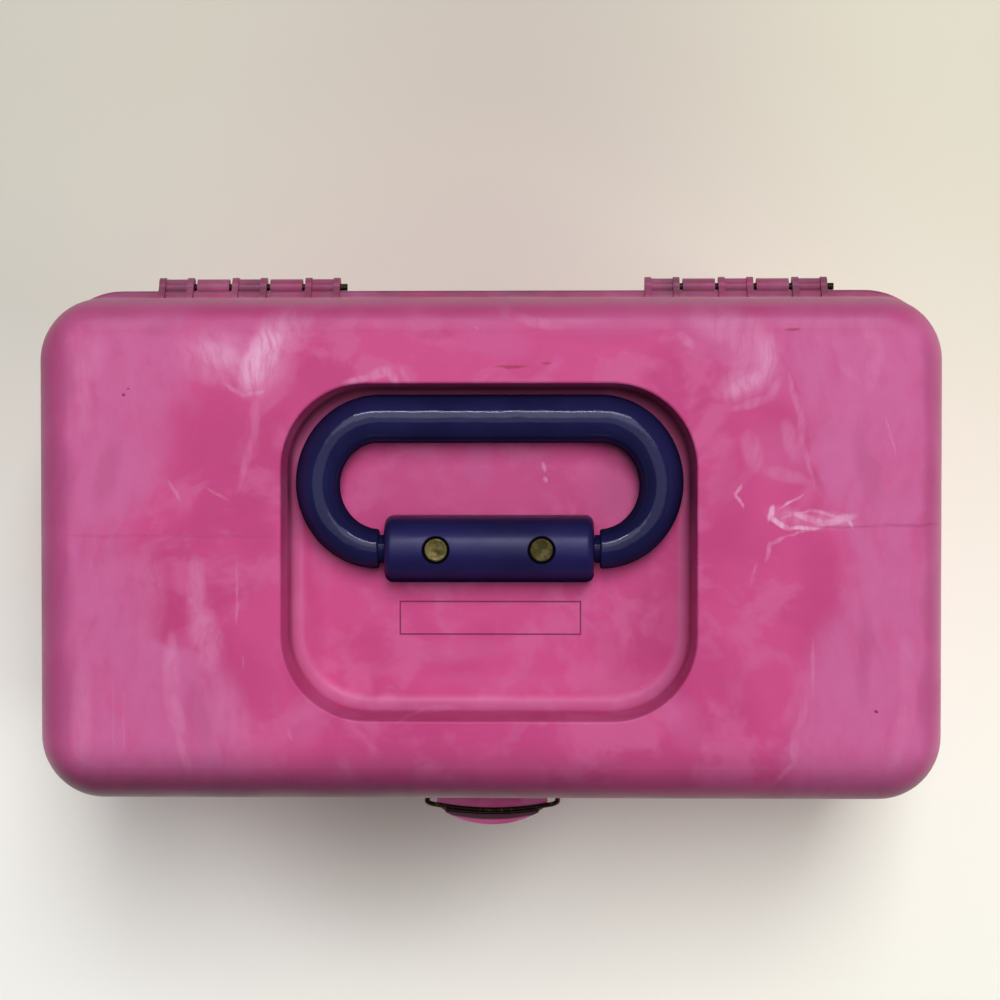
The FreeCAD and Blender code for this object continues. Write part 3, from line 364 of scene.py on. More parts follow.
FLARE_SMEARS = (
    (0.55, 1.0, (272, 336, 15), (250, 380, 18)),
    (0.25, 1.0, (206, 352, 12), (236, 360, 14)),
    (0.22, 0.9, (226, 386, 2.4), (246, 397, 3), (264, 392, 2.4)),
    (0.22, 1.0, (771, 340, 8), (766, 378, 9)),
    (0.25, 1.0, (760, 380, 8), (732, 392, 9)),
    (0.18, 0.9, (171, 484, 2), (179, 501, 2)),
    (0.16, 0.9, (209, 489, 2), (226, 501, 2)),
    (0.45, 0.9, (743, 487, 1.8), (737, 496, 2.2), (743, 507, 1.8)),
    (0.75, 0.8, (773, 508, 3.2), (771, 520, 3), (790, 529, 3), (817, 530, 1.8)),
    (0.50, 0.9, (794, 514, 3), (822, 524, 4.6), (852, 519, 4.4)),
    (0.40, 0.9, (786, 518, 1.6), (812, 512, 1.8), (836, 516, 1.8)),
    (0.60, 0.8, (783, 509, 1.8), (802, 497, 1.3)),
    (0.45, 0.8, (845, 517, 2.2), (853, 528, 2.2)),
    # the last two: painted glints on the recess floor
    (0.50, 0.9, (544, 465, 2.2), (546, 472, 2.6)),
    (0.50, 0.9, (546, 480, 2.4), (547, 484, 2.4)),
)
DARK_SMEARS = (
    (0.13, 1.0, (56, 537, 2.4), (170, 538, 2.2), (284, 539, 1.6)),
    (0.28, 1.0, (816, 530, 1.2), (880, 527, 2.0), (942, 526, 2.0)),
    (0.90, 0.5, (123, 396, 1.5), (125.5, 396, 1.5)),
    (0.70, 0.5, (128, 390, 1.0), (130, 390, 1.0)),
    (0.60, 0.5, (229, 304, 1.4), (231, 304, 1.4)),
    (0.95, 0.5, (875.5, 712, 1.6), (878.5, 712.5, 1.6)),
    # the last two: painted shade in the recess's rear corners, around the handle
    (0.36, 0.8, (298, 500, 9), (303, 450, 14), (324, 412, 16), (368, 396, 11)),
    (0.36, 0.8, (368, 394, 9), (616, 394, 9), (662, 412, 15), (684, 452, 12)),
)
SCRATCH_SMEARS = (
    (0.75, 0.8, (500, 369, 1.8), (526, 367, 2.0)),
    (0.60, 0.8, (544, 365, 1.6), (552, 364, 1.6)),
    (0.75, 0.7, (787, 331, 1.4), (800, 332, 1.3)),
)


def turned_plans(tree, plan):
    """The plan turned back by 0, 15, 30 ... degrees."""
    plans = [plan]
    for step in range(1, TURN_STEPS):
        inputs = {"Vector": plan, "Angle": -step * math.pi / 2 / TURN_STEPS}
        plans.append(put(tree, "ShaderNodeVectorRotate", inputs, rotation_type="Z_AXIS").outputs[0])
    return plans


def stroke_reach(tree, plans, start, end):
    """Squared distance from the middle of one elliptic stroke: 1 on its outline."""
    run = Vector((end[0] - start[0], end[1] - start[1]))
    half_width = (start[2] + end[2]) / 2
    half_length = max(run.length / 2 * LAP[0] + half_width / 2, half_width)
    step = round(math.atan2(run.y, run.x) / (math.pi / 2) * TURN_STEPS) % (2 * TURN_STEPS)
    angle = (step % TURN_STEPS) * math.pi / 2 / TURN_STEPS
    middle = ((start[0] + end[0]) / 2, (start[1] + end[1]) / 2)
    turned_middle = (middle[0] * math.cos(angle) + middle[1] * math.sin(angle),
                     middle[1] * math.cos(angle) - middle[0] * math.sin(angle))
    size = (1 / half_length, 1 / (half_width * LAP[1]))
    size = size if step < TURN_STEPS else size[::-1]
    inputs = {0: plans[step % TURN_STEPS], 1: size + (0.0,),
              2: (-turned_middle[0] * size[0], -turned_middle[1] * size[1], 0.0)}
    out = put(tree, "ShaderNodeVectorMath", inputs, operation="MULTIPLY_ADD").outputs[0]
    return vector(tree, "DOT_PRODUCT", out, out)


def smear_mask(tree, plans, smears):
    """Where any of the smears lies: its strength inside, 0 outside."""
    mask = None
    for strength, softness, *spots in smears:
        nearness = None
        for start, end in zip(spots, spots[1:]):
            reach = stroke_reach(tree, plans, start, end)
            nearness = reach if nearness is None else calc(tree, "MINIMUM", nearness, reach)
        one = smooth(tree, nearness, (1.0 - softness) ** 2, 1.0, strength, 0.0)
        mask = one if mask is None else calc(tree, "MAXIMUM", mask, one)
    return mask


def border_side(tree, across, down, border, edge):
    """How far across lies past a wavy border, given as (down, across) points: 0 before, 1 after."""
    curve = put(tree, "ShaderNodeFloatCurve", {"Value": calc(tree, "DIVIDE", down, PLAN_SPAN)})
    points = curve.mapping.curves[0].points
    points[0].location = (border[0][0] / PLAN_SPAN, border[0][1] / PLAN_SPAN)
    points[1].location = (border[-1][0] / PLAN_SPAN, border[-1][1] / PLAN_SPAN)
    for where_down, where_across in border[1:-1]:
        points.new(where_down / PLAN_SPAN, where_across / PLAN_SPAN)
    curve.mapping.update()
    line = calc(tree, "MULTIPLY", curve.outputs[0], PLAN_SPAN)
    return smooth(tree, calc(tree, "SUBTRACT", across, line), -edge, edge)


def on_plan(tree, place):
    """The spot on the plan of the lid that belongs to a place in millimetres."""
    inputs = {0: place, 1: (PLAN_SCALE, -PLAN_SCALE, 0.0), 2: PLAN_MIDDLE + (0.0,)}
    return put(tree, "ShaderNodeVectorMath", inputs, operation="MULTIPLY_ADD").outputs[0]


def lilac_fields(tree, plan):
    spot = split(tree, plan)
    right_of_left = border_side(tree, spot["X"], spot["Y"], LEFT_LILAC, LILAC_EDGE)
    left = calc(tree, "SUBTRACT", 1.0, right_of_left)
    right = border_side(tree, spot["X"], spot["Y"], RIGHT_LILAC, LILAC_EDGE)
    return calc(tree, "MAXIMUM", left, right)


def marbled_ground(tree, swirl, plan, on_top):
    """Magenta with deeper, rosy and lilac clouds; the lid's top has its lilac in two fields."""
    broad = noise(tree, swirl, size=40.0, detail=2.0, roughness=0.5)
    deep = smooth(tree, broad, 0.40, 0.60, start=0.6, end=0.0)
    base = blend(tree, deep, colour(MAGENTA), colour(DEEP_PINK))
    rosy = noise(tree, swirl, size=17.0, detail=3.0, roughness=0.6)
    base = blend(tree, smooth(tree, rosy, 0.46, 0.62, start=0.0, end=0.75), base, colour(ROSE))
    clouds = smooth(tree, noise(tree, swirl, size=30.0, detail=3.0, roughness=0.55), 0.47, 0.60)
    streaked = stretched(tree, swirl, STREAK_STRETCH, (0, 0, 6))
    streaks = noise(tree, streaked, size=5.0, detail=4.0, roughness=0.6)
    lilac = product(tree, mixed(tree, on_top, clouds, lilac_fields(tree, plan)),
                    smooth(tree, streaks, 0.25, 0.62, start=0.45, end=0.9))
    base = blend(tree, lilac, base, colour(LILAC))
    wandering = noise(tree, swirl, size=26.0, detail=3.0, roughness=0.5)
    veins = size_of(tree, calc(tree, "SUBTRACT", wandering, 0.5))
    vein_share = product(tree, smooth(tree, veins, 0.0, 0.10, start=0.5, end=0.0),
                         smooth(tree, broad, 0.44, 0.60))
    return blend(tree, mixed(tree, on_top, vein_share, 0.0), base, colour(PALE))


def paint_smears(tree, base, swirl, plan, fine_plan, on_top):
    streaked = stretched(tree, swirl, STREAK_STRETCH, (0, 0, 24))
    fibres = noise(tree, streaked, size=2.6, detail=4.0, roughness=0.62)
    feathered = product(tree, on_top, smooth(tree, fibres, 0.30, 0.62, start=0.35, end=1.0))
    plans = turned_plans(tree, plan)
    fine_plans = turned_plans(tree, fine_plan)
    layers = (
        (DEEP_PINK, DEEP_SMEARS, plans, on_top),
        (MAUVE, MAUVE_SMEARS, plans, on_top),
        (LILAC, LILAC_SMEARS, plans, on_top),
        (PALE, PALE_SMEARS, fine_plans, feathered),
        (FLARE, FLARE_SMEARS, fine_plans, feathered),
        (MAUVE, SHADE_SMEARS, fine_plans, on_top),
        (SHADOW_AND_SPECK_PINK, DARK_SMEARS, fine_plans, on_top),
        (SCRATCH_RED, SCRATCH_SMEARS, fine_plans, on_top),
    )
    for paint, smears, sheets, share in layers:
        mask = product(tree, smear_mask(tree, sheets, smears), share)
        base = blend(tree, mask, base, colour(paint))
    return base


# Painted shade on the lid's rear and front shoulders, and a greyish painted sheen with shade on the rear
# rim.
def paint_shoulders(tree, base, where, fine_plan):
    spot = split(tree, fine_plan)
    shoulder = smooth(tree, where["Z"], *SHOULDER)
    rear = product(tree, smooth(tree, spot["Y"], *REAR_SHADE, start=0.72, end=0.0), shoulder)
    base = blend(tree, rear, base, colour(MAUVE))
    rear_rim = product(tree, smooth(tree, spot["Y"], *REAR_RIM, start=0.75, end=0.0), shoulder)
    base = blend(tree, rear_rim, base, colour(REAR_RIM_SHEEN_SHADE))
    front = product(tree, smooth(tree, spot["Y"], *FRONT_SHADE), shoulder,
                    smooth(tree, spot["X"], *FRONT_SHADE_LESSENS, start=0.97, end=0.66))
    return blend(tree, front, base, colour(DUSK))


def paint_recess(tree, base, where, outside):
    """Painted light on the foot of the recess's wall, painted shade on the wall, and painted shade in the
    panel's groove.
    """
    inside = calc(tree, "SUBTRACT", 1.0, outside, clamp=True)
    # The foot: painted light where the wall meets the floor.
    foot = product(tree, smooth(tree, where["Z"], *FOOT_STARTS),
                   smooth(tree, where["Z"], *FOOT_ENDS, start=0.32, end=0.0), inside)
    base = blend(tree, foot, base, colour(PALE))
    # The wall: painted shade, fading out towards the front.
    wall = product(tree, smooth(tree, where["Z"], *WALL_STARTS),
                   smooth(tree, where["Z"], *WALL_ENDS, start=1.0, end=0.0),
                   smooth(tree, where["Y"], *WALL_DARKENS, start=0.0, end=0.45), inside)
    base = blend(tree, wall, base, colour(DUSK))
    # The panel's groove: painted shade.
    past_end = calc(tree, "GREATER_THAN", size_of(tree, where["X"]), PANEL_HALF_SIZE[0])
    across = size_of(tree, calc(tree, "SUBTRACT", where["Y"], PANEL_LINE))
    past_side = calc(tree, "GREATER_THAN", across, PANEL_HALF_SIZE[1])
    depth = size_of(tree, calc(tree, "SUBTRACT", where["Z"], GROOVE_BOTTOM))
    groove = calc(tree, "SUBTRACT", smooth(tree, depth, *GROOVE_REACH, start=0.85, end=0.0),
                  calc(tree, "MAXIMUM", past_end, past_side), clamp=True)
    return blend(tree, groove, base, colour(SHADOW_AND_SPECK_PINK))


def paint_catch(tree, base, where):
    """Painted shadow in the valley of the catch under the wire, and thinly around it."""
    sag = calc(tree, "MULTIPLY", calc(tree, "POWER", where["X"], 2.0), CATCH_BOW)
    bowed = calc(tree, "SUBTRACT", where["Y"], sag)
    valley = product(tree, smooth(tree, bowed, *VALLEY_STARTS),
                     smooth(tree, bowed, *VALLEY_ENDS, start=1.0, end=0.0))
    dull = smooth(tree, where["Y"], *CATCH_ENDS, start=0.22, end=0.0)
    painted_shade = product(tree, calc(tree, "MAXIMUM", valley, dull), smooth(tree, where["Z"], *CATCH_HEIGHT),
                   smooth(tree, size_of(tree, where["X"]), *CATCH_SIDE, start=0.92, end=0.0))
    return blend(tree, painted_shade, base, colour(VALLEY_SHADE))


# Painted shade with a grey reflection on the rear wall by the hinge line, in patches.
def paint_hinge_line(tree, base, place, where):
    painted_shade = smooth(tree, noise(tree, place, size=14.0, detail=3.0, roughness=0.5), 0.3, 0.7, 0.6, 0.9)
    behind = product(tree, smooth(tree, where["Y"], *HINGE_LINE), painted_shade)
    return blend(tree, behind, base, colour(REAR_WALL_SHADE))


def marbled_plastic():
    material, tree, place = new_material("marbled_plastic")
    where = split(tree, place)
    beside = smooth(tree, size_of(tree, where["X"]), *RECESS_SIDE)
    beyond = smooth(tree, size_of(tree, where["Y"]), *RECESS_END)
    outside = calc(tree, "MAXIMUM", beside, beyond)
    low = mixed(tree, outside, *TOP_STARTS)
    on_top = smooth(tree, where["Z"], low, calc(tree, "ADD", low, TOP_BLEND))
    swirl = warped(tree, warped(tree, place, size=60.0, reach=16.0), size=15.0, reach=3.0, detail=3.0)
    plan = on_plan(tree, warped(tree, place, size=12.0, reach=3.0, detail=4.0))
    fine_plan = on_plan(tree, warped(tree, place, size=5.0, reach=0.9, detail=3.0))
    base = marbled_ground(tree, swirl, plan, on_top)
    base = paint_smears(tree, base, swirl, plan, fine_plan, on_top)
    base = paint_shoulders(tree, base, where, fine_plan)
    mottle = noise(tree, place, size=7.0, detail=4.0, roughness=0.6)
    base = blend(tree, smooth(tree, mottle, 0.3, 0.7, start=0.10, end=0.0), base, colour(DEEP_PINK))
    base = paint_recess(tree, base, where, outside)
    base = paint_catch(tree, base, where)
    base = paint_hinge_line(tree, base, place, where)
    roughness = smooth(tree, noise(tree, place, size=22.0, detail=3.0), 0.3, 0.7, start=0.36, end=0.48)
    grain = noise(tree, place, size=1.6, detail=2.0)
    finish(tree, {"Base Color": base, "Roughness": roughness}, (grain, 0.04))
    return material


# ---- other finishes -----------------------------------------------------------------------------
DULL_BEND = 1.02            # index of refraction of a worn surface: next to no gloss
REAR_BEND = 1.45
GLOSS_BEND = 1.5
DULL_BLEND = 5.0            # how far above the dull height the gloss has come back
SHADE_DROP = 2.0
WELL_EDGE = (4.4, 4.8)
BARREL_REAR = (2.0, 6.0)


def navy_plastic(name, paint, roughness, ripple, dull_height=None, riveted=False):
    """Navy plastic; ripple is the depth of its moulding waves; below dull_height its gloss is worn off and
    its colour darkens with painted shade.

    The riveted barrel keeps its gloss at the rear, and has painted shade in the wells of its two rivets.
    """
    material, tree, place = new_material(name)
    cloud = noise(tree, place, size=18.0, detail=3.0)
    shade = blend(tree, smooth(tree, cloud, 0.3, 0.7, 0.0, 0.5), colour(paint), colour(NAVY_DARK))
    scratched = stretched(tree, place, (0.12, 1.0, 1.0), (0, 0, 14))
    scuffs = smooth(tree, noise(tree, scratched, size=0.5, detail=3.0), 0.64, 0.8, start=0.0, end=0.08)
    shade = blend(tree, scuffs, shade, colour(SCUFF))
    where = split(tree, place)
    bend = GLOSS_BEND
    if dull_height is not None:
        full = dull_height + DULL_BLEND
        bend = smooth(tree, where["Z"], dull_height, full, DULL_BEND, GLOSS_BEND)
        # Below the dull height the colour darkens: painted shade.
        low_shade = smooth(tree, where["Z"], dull_height - SHADE_DROP, full, start=0.45, end=0.0)
        shade = blend(tree, low_shade, shade, colour(SHADE_BLACK))
    if riveted:
        across = calc(tree, "SUBTRACT", size_of(tree, where["X"]), RIVET_SPACING / 2)
        down = calc(tree, "SUBTRACT", where["Y"], RIVET_LINE[1])
        from_rivet = put(tree, "ShaderNodeCombineXYZ", {0: across, 1: down}).outputs[0]
        well = smooth(tree, vector(tree, "LENGTH", from_rivet), *WELL_EDGE, start=1.0, end=0.0)
        rear = smooth(tree, down, *BARREL_REAR, start=DULL_BEND, end=REAR_BEND)
        bend = mixed(tree, well, calc(tree, "MAXIMUM", bend, rear), DULL_BEND)
        shade = blend(tree, well, shade, colour(SHADE_BLACK))
    worn = smooth(tree, noise(tree, place, size=5.0, detail=4.0), 0.3, 0.75, *roughness)
    waves = noise(tree, place, size=9.0, detail=2.0)
    finish(tree, {"Base Color": shade, "Roughness": worn, "IOR": bend}, (waves, ripple))
    return material


def aged_brass():
    """Brass with a dark tarnish, more of it on the rivet at the right."""
    material, tree, place = new_material("aged_brass")
    patches = smooth(tree, noise(tree, place, size=2.6, detail=3.0, roughness=0.5), 0.38, 0.66)
    right = smooth(tree, split(tree, place)["X"], -5.0, 5.0, start=0.0, end=0.6)
    tarnish = calc(tree, "ADD", patches, right, clamp=True)
    shade = blend(tree, tarnish, colour(BRASS), colour(BRASS_DARK))
    bloom = noise(tree, place, size=1.4, detail=3.0, roughness=0.5)
    shade = blend(tree, smooth(tree, bloom, 0.5, 0.7, start=0.0, end=0.5), shade, colour(BRASS_GREEN))
    roughness = smooth(tree, tarnish, 0.0, 1.0, start=0.38, end=0.6)
    dents = noise(tree, place, size=1.0, detail=2.0)
    finish(tree, {"Base Color": shade, "Metallic": 0.8, "Roughness": roughness}, (dents, 0.04))
    return material


def dark_wire():
    material, tree, place = new_material("dark_wire")
    worn = noise(tree, place, size=2.4, detail=4.0, roughness=0.65)
    worn = smooth(tree, worn, 0.52, 0.7, start=0.0, end=0.6)
    shade = blend(tree, worn, colour(WIRE_BROWN), colour(BRASS))
    roughness = smooth(tree, worn, 0.0, 0.6, start=0.42, end=0.55)
    pits = noise(tree, place, size=0.6, detail=3.0)
    finish(tree, {"Base Color": shade, "Metallic": 0.9, "Roughness": roughness}, (pits, 0.03))
    return material


def brushed_steel():
    material, tree, place = new_material("plain_steel")
    spots = noise(tree, place, size=2.2, detail=4.0, roughness=0.7)
    brushed = noise(tree, stretched(tree, place, (0.05, 1.0, 1.0)), size=0.25, detail=2.0)
    streaks = smooth(tree, brushed, 0.2, 0.8, start=0.0, end=0.3)
    shade = blend(tree, streaks, colour(STEEL), colour(STEEL_DARK))
    shade = blend(tree, smooth(tree, spots, 0.62, 0.78, start=0.0, end=0.3), shade, colour(RUST))
    roughness = smooth(tree, brushed, 0.2, 0.8, start=0.28, end=0.42)
    finish(tree, {"Base Color": shade, "Metallic": 1.0, "Roughness": roughness}, (brushed, 0.01))
    return material


def tray_plastic():
    material, tree, place = new_material("tray_pink")
    cloud = noise(tree, warped(tree, place, size=40.0, reach=10.0), size=30.0, detail=4.0)
    deep = smooth(tree, cloud, 0.3, 0.7, start=0.0, end=0.6)
    shade = blend(tree, deep, colour(TRAY_PINK), colour(TRAY_PINK_DEEP))
    dust = noise(tree, place, size=3.0, detail=5.0, roughness=0.7)
    shade = blend(tree, smooth(tree, dust, 0.6, 0.8, start=0.0, end=0.2), shade, colour(DUST))
    roughness = smooth(tree, noise(tree, place, size=8.0, detail=3.0), 0.3, 0.7, start=0.36, end=0.5)
    grain = noise(tree, place, size=1.2, detail=2.0)
    finish(tree, {"Base Color": shade, "Roughness": roughness}, (grain, 0.03))
    return material


def silvered_glass():
    material, tree, place = new_material("silvered_glass")
    smudge = noise(tree, warped(tree, place, size=20.0, reach=8.0), size=14.0, detail=4.0)
    smudge = smooth(tree, smudge, 0.5, 0.8)
    shade = blend(tree, smudge, colour(SILVER), colour(SILVER_SMUDGE))
    roughness = smooth(tree, smudge, 0.0, 1.0, start=0.02, end=0.10)
    finish(tree, {"Base Color": shade, "Metallic": 1.0, "Roughness": roughness})
    return material


def repaint(material, *node_names):
    for name in node_names:
        for slot in NODES[name].material_slots:
            slot.material = material


# ---- turned pieces: rivets and screws -----------------------------------------------------------
TURN_SIDES = 48
SHARP_ANGLE = 32.0          # degrees
HANDLE_RIVET = ((0, 158.42), (2.3, 158.46), (3.0, 158.62), (3.3, 158.7), (3.52, 158.64), (3.7, 158.42),
                (3.75, 158.1), (3.75, 157.4), (2.4, 157.4), (2.4, 135.5), (3.75, 135.5), (3.75, 134.8),
                (3.4, 134.35), (2.6, 134.2), (0, 134.2))
MIRROR_SCREW = ((0, 128.75), (1.5, 128.78), (2.2, 128.95), (2.6, 129.25), (2.8, 129.65), (2.8, 130.0),
                (1.25, 130.0), (1.25, 140.6), (0, 142.0))
RIVET_SPACING = 34.4
RIVET_LINE = (-17.2, -0.3, 0.0)
SCREW_CORNER = (-97.5, -45.5, 0.0)
SCREW_SPREAD = (195.0, 91.0)
SCREW_SLOT = (3.4, 0.7, 0.75)   # length, width and depth of the cross


def turned(name, section):
    """A closed mesh turned about Z from (radius, height) points."""
    shape = bmesh.new()
    rings = []
    for radius, height in section:
        count = 1 if radius == 0 else TURN_SIDES
        ring = []
        for index in range(count):
            angle = 2 * math.pi * index / count
            place = Vector((radius * math.cos(angle), radius * math.sin(angle), height)) * MM
            ring.append(shape.verts.new(place))
        rings.append(ring)
    for upper, lower in zip(rings, rings[1:]):
        for index in range(TURN_SIDES):
            following = (index + 1) % TURN_SIDES
            corners = [upper[index % len(upper)], lower[index % len(lower)],
                       lower[following % len(lower)], upper[following % len(upper)]]
            unique = [corner for place, corner in enumerate(corners) if corner not in corners[:place]]
            shape.faces.new(unique)
    bmesh.ops.recalc_face_normals(shape, faces=shape.faces)
    mesh = bpy.data.meshes.new(name)
    shape.to_mesh(mesh)
    shape.free()
    return mesh


def make_setting_tree():
    """Sets copies of a turned piece on the corners of a rectangle, with a cross cut in each head."""
    tree = bpy.data.node_groups.new("set_in_rows", "GeometryNodeTree")
    sockets = {"Piece": "Geometry", "First place": "Vector", "Columns": "Int", "Rows": "Int",
               "Column step": "Float", "Row step": "Float", "Cross": "Bool", "Cross size": "Vector",
               "Cross height": "Float", "Material": "Material"}
    for name, kind in sockets.items():
        tree.interface.new_socket(name, in_out="INPUT", socket_type="NodeSocket" + kind)
    tree.interface.new_socket("Pieces", in_out="OUTPUT", socket_type="NodeSocketGeometry")
    given = put(tree, "NodeGroupInput").outputs
    bar = put(tree, "GeometryNodeMeshCube", {"Size": given["Cross size"]}).outputs[0]
    lift = put(tree, "ShaderNodeCombineXYZ", {2: given["Cross height"]}).outputs[0]
    quarter = (0.0, 0.0, math.pi / 2)
    first_bar = put(tree, "GeometryNodeTransform", {0: bar, "Translation": lift}).outputs[0]
    across = {0: bar, "Translation": lift, "Rotation": quarter}
    second_bar = put(tree, "GeometryNodeTransform", across).outputs[0]
    cut = put(tree, "GeometryNodeMeshBoolean", {0: given["Piece"]}, operation="DIFFERENCE", solver="EXACT")
    tree.links.new(second_bar, cut.inputs[1])
    tree.links.new(first_bar, cut.inputs[1])
    pieces = {"Switch": given["Cross"], "False": given["Piece"], "True": cut.outputs[0]}
    piece = put(tree, "GeometryNodeSwitch", pieces, input_type="GEOMETRY").outputs[0]
    column_step = put(tree, "ShaderNodeCombineXYZ", {0: given["Column step"]}).outputs[0]
    row_step = put(tree, "ShaderNodeCombineXYZ", {1: given["Row step"]}).outputs[0]
    line_inputs = {"Count": given["Columns"], "Start Location": given["First place"],
                   "Offset": column_step}
    line = put(tree, "GeometryNodeMeshLine", line_inputs, mode="OFFSET").outputs[0]
    row_inputs = {"Count": given["Rows"], "Offset": row_step}
    row = put(tree, "GeometryNodeMeshLine", row_inputs, mode="OFFSET").outputs[0]
    column_inputs = {"Points": row, "Instance": piece}
    column = put(tree, "GeometryNodeInstanceOnPoints", column_inputs).outputs[0]
    all_inputs = {"Points": line, "Instance": column}
    columns = put(tree, "GeometryNodeInstanceOnPoints", all_inputs).outputs[0]
    real = put(tree, "GeometryNodeRealizeInstances", {0: columns}).outputs[0]
    painted = put(tree, "GeometryNodeSetMaterial", {0: real, "Material": given["Material"]}).outputs[0]
    put(tree, "NodeGroupOutput", {0: painted})
    return tree


def set_pieces(name, blank, tree, values):
    """Runs the tree on a blank, and keeps the result as a plain mesh."""
    worker = bpy.data.objects.new(name + "_blank", blank)
    bpy.context.collection.objects.link(worker)
    modifier = worker.modifiers.new("set", "NODES")
    modifier.node_group = tree
    for item in tree.interface.items_tree:
        if item.in_out == "INPUT" and item.name in values:
            modifier[item.identifier] = values[item.name]
    depsgraph = bpy.context.evaluated_depsgraph_get()
    mesh = bpy.data.meshes.new_from_object(worker.evaluated_get(depsgraph), depsgraph=depsgraph)
    worker.modifiers.remove(modifier)
    bpy.data.objects.remove(worker)
    piece = bpy.data.objects.new(name, mesh)
    bpy.context.collection.objects.link(piece)
    mesh.shade_flat()
    mesh.set_sharp_from_angle(angle=math.radians(SHARP_ANGLE))
    return piece


def make_rivets(tree, brass):
    values = {"First place": [value * MM for value in RIVET_LINE], "Columns": 2, "Rows": 1,
              "Column step": RIVET_SPACING * MM, "Row step": 0.0, "Cross": False,
              "Cross size": (MM, MM, MM), "Cross height": 0.0, "Material": brass}
    rivets = set_pieces("brass_rivets", turned("rivet_blank", HANDLE_RIVET), tree, values)
    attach(rivets, "lid")
    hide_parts("handle_rivets")


def make_screws(tree, plain_steel):
    length, width, depth = SCREW_SLOT
    values = {"First place": [value * MM for value in SCREW_CORNER], "Columns": 2, "Rows": 2,
              "Column step": SCREW_SPREAD[0] * MM, "Row step": SCREW_SPREAD[1] * MM, "Cross": True,
              "Cross size": (length * MM, width * MM, 2 * depth * MM),
              "Cross height": MIRROR_SCREW[0][1] * MM, "Material": plain_steel}
    screws = set_pieces("cross_head_screws", turned("screw_blank", MIRROR_SCREW), tree, values)
    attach(screws, "lid")
    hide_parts("mirror_screws")


# ---- stage --------------------------------------------------------------------------------------
FLOOR_RIGHTWARD = (-230.0, 230.0)
FLOOR_REARWARD = (-130.0, 190.0)
FLOOR_OUTWARD = (0.0, 170.0)
SHADOW_MIDDLE = (-45.0, -102.0, 0.0)
WIDE_SHADOW = 240.0
CLOSE_SHADOW = 80.0


def make_floor():
    half = FLOOR_SIZE / 2 * MM
    corners = [(-half, -half, 0), (half, -half, 0), (half, half, 0), (-half, half, 0)]
    mesh = bpy.data.meshes.new("floor")
    mesh.from_pydata(corners, [], [(0, 1, 2, 3)])
    floor = bpy.data.objects.new("floor", mesh)
    bpy.context.collection.objects.link(floor)
    material, tree, place = new_material("board_with_painted_light")
    spot = split(tree, place)
    rightward = smooth(tree, spot["X"], *FLOOR_RIGHTWARD)
    sides = blend(tree, rightward, colour(FLOOR_REAR_LEFT), colour(FLOOR_REAR_RIGHT))
    outward = smooth(tree, size_of(tree, spot["X"]), *FLOOR_OUTWARD)
    rear = blend(tree, outward, colour(FLOOR_REAR_MIDDLE), sides)
    front = blend(tree, rightward, colour(FLOOR_FRONT_LEFT), colour(FLOOR_FRONT_RIGHT))
    # A painted shadow in front of the case, wide and close.
    away = vector(tree, "DISTANCE", place, SHADOW_MIDDLE)
    front = blend(tree, smooth(tree, away, 0.0, WIDE_SHADOW, 0.20, 0.0), front, colour(FLOOR_DUSK))
    front = blend(tree, smooth(tree, away, 0.0, CLOSE_SHADOW, 0.74, 0.0), front, colour(FLOOR_DUSK))
    shade = blend(tree, smooth(tree, spot["Y"], *FLOOR_REARWARD), front, rear)
    grain = noise(tree, place, size=3.0, detail=4.0)
    finish(tree, {"Base Color": shade, "Roughness": 0.8, "Specular IOR Level": 0.3}, (grain, 0.05))
    mesh.materials.append(material)


def make_world():
    """A pale horizon and a dim ceiling to see and mirror, and an even dim glow as light."""
    world = bpy.data.worlds.new("room")
    bpy.context.scene.world = world
    world.use_nodes = True
    tree = world.node_tree
    tree.nodes.clear()
    ray = put(tree, "ShaderNodeLightPath").outputs
    mirrored = calc(tree, "MAXIMUM", ray["Is Glossy Ray"], ray["Is Transmission Ray"])
    seen = calc(tree, "MAXIMUM", ray["Is Camera Ray"], mirrored)
    upward = split(tree, put(tree, "ShaderNodeTexCoord").outputs["Generated"])["Z"]
    backdrop = smooth(tree, upward, *HORIZON_BAND, start=HORIZON_GLOW, end=CEILING_GLOW)
    strength = mixed(tree, seen, AMBIENT, backdrop)
    shader = put(tree, "ShaderNodeBackground", {"Color": colour(WALL_PALE), "Strength": strength})
    put(tree, "ShaderNodeOutputWorld", {"Surface": shader.outputs[0]})


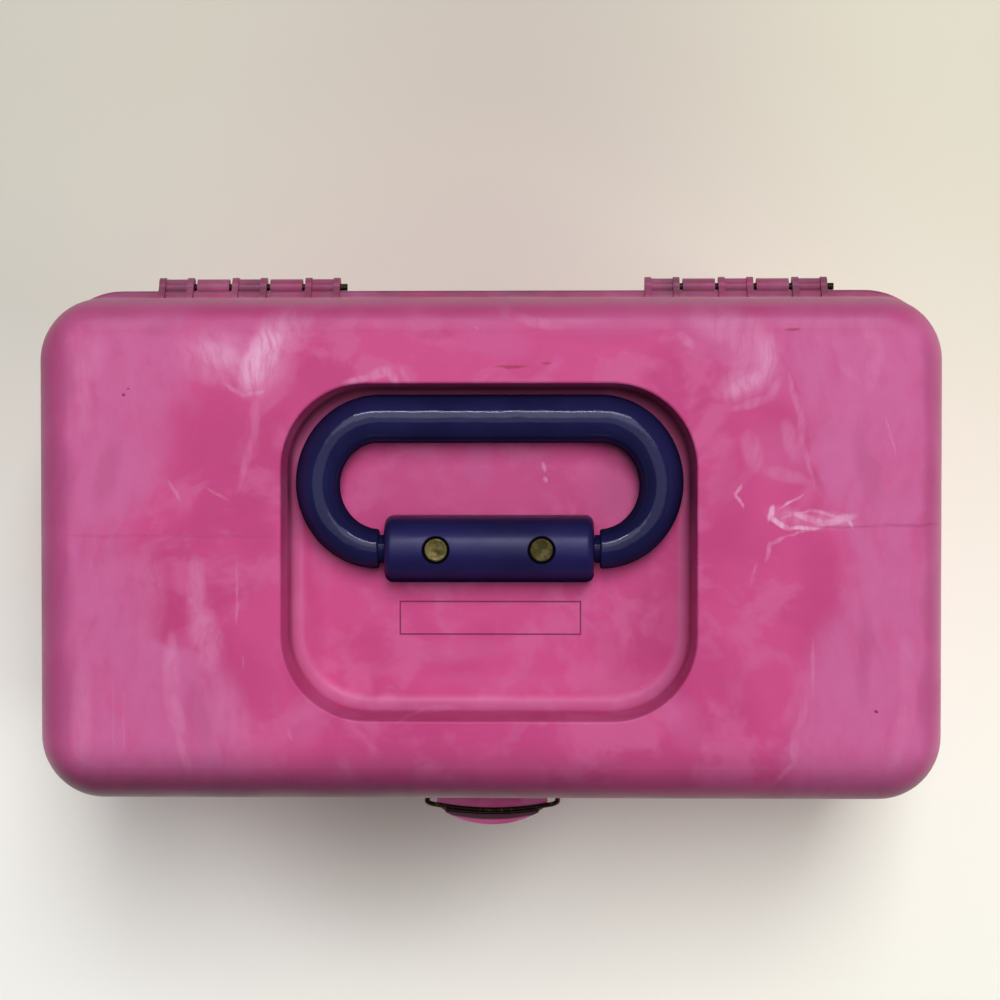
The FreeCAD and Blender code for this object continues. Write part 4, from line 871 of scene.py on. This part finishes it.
def make_lamp(name, place, aim, size, power, tint, lights, shines):
    data = bpy.data.lights.new(name, "AREA")
    data.shape = "RECTANGLE"
    data.size = size[0] * MM
    data.size_y = size[1] * MM
    data.energy = power
    data.color = tint
    lamp = bpy.data.objects.new(name, data)
    bpy.context.collection.objects.link(lamp)
    lamp.location = Vector(place) * MM
    lamp.rotation_euler = (Vector(aim) - Vector(place)).to_track_quat("-Z", "Y").to_euler()
    lamp.visible_diffuse = lights
    lamp.visible_glossy = shines


def make_camera():
    data = bpy.data.cameras.new("camera")
    data.lens = CAMERA_LENS
    data.sensor_width = CAMERA_SENSOR
    data.clip_start = CAMERA_NEAR * MM
    camera = bpy.data.objects.new("camera", data)
    bpy.context.collection.objects.link(camera)
    camera.location = Vector(CAMERA_PLACE) * MM
    camera.rotation_euler = Euler([math.radians(angle) for angle in CAMERA_TURN])
    bpy.context.scene.camera = camera


def finish_nodes(plain_steel):
    repaint(marbled_plastic(), "body_shell", "lid_shell")
    navy_gloss = navy_plastic("navy_gloss", NAVY, roughness=(0.09, 0.17), ripple=0.20, dull_height=150.0)
    repaint(navy_gloss, "handle_bail")
    navy_satin = navy_plastic("navy_satin", NAVY_SATIN, roughness=(0.34, 0.44), ripple=0.08,
                              dull_height=152.5, riveted=True)
    repaint(navy_satin, "handle_barrel")
    navy_plain = navy_plastic("navy_plain", NAVY_SATIN, roughness=(0.36, 0.46), ripple=0.08)
    repaint(navy_plain, "latch_lever", "mirror_frame")
    repaint(dark_wire(), "latch_bail", "left_hinge_pin", "right_hinge_pin")
    repaint(plain_steel, "latch_pivot_pin", "rivet_washers", "body_arm_rivets", "lower_tray_rivets",
            "upper_tray_rivets", "lid_tray_pins", "left_rear_arm", "left_front_arm", "right_rear_arm",
            "right_front_arm")
    repaint(tray_plastic(), "upper_tray", "lower_tray", "upper_tray_dividers", "lower_tray_dividers")
    repaint(silvered_glass(), "mirror_glass")


def main():
    bpy.context.scene.view_settings.view_transform = "Standard"
    make_camera()
    make_world()
    for name, settings in LAMPS.items():
        make_lamp(name, *settings)
    make_floor()
    plain_steel = brushed_steel()
    finish_nodes(plain_steel)
    setting_tree = make_setting_tree()
    make_rivets(setting_tree, aged_brass())
    make_screws(setting_tree, plain_steel)


main()
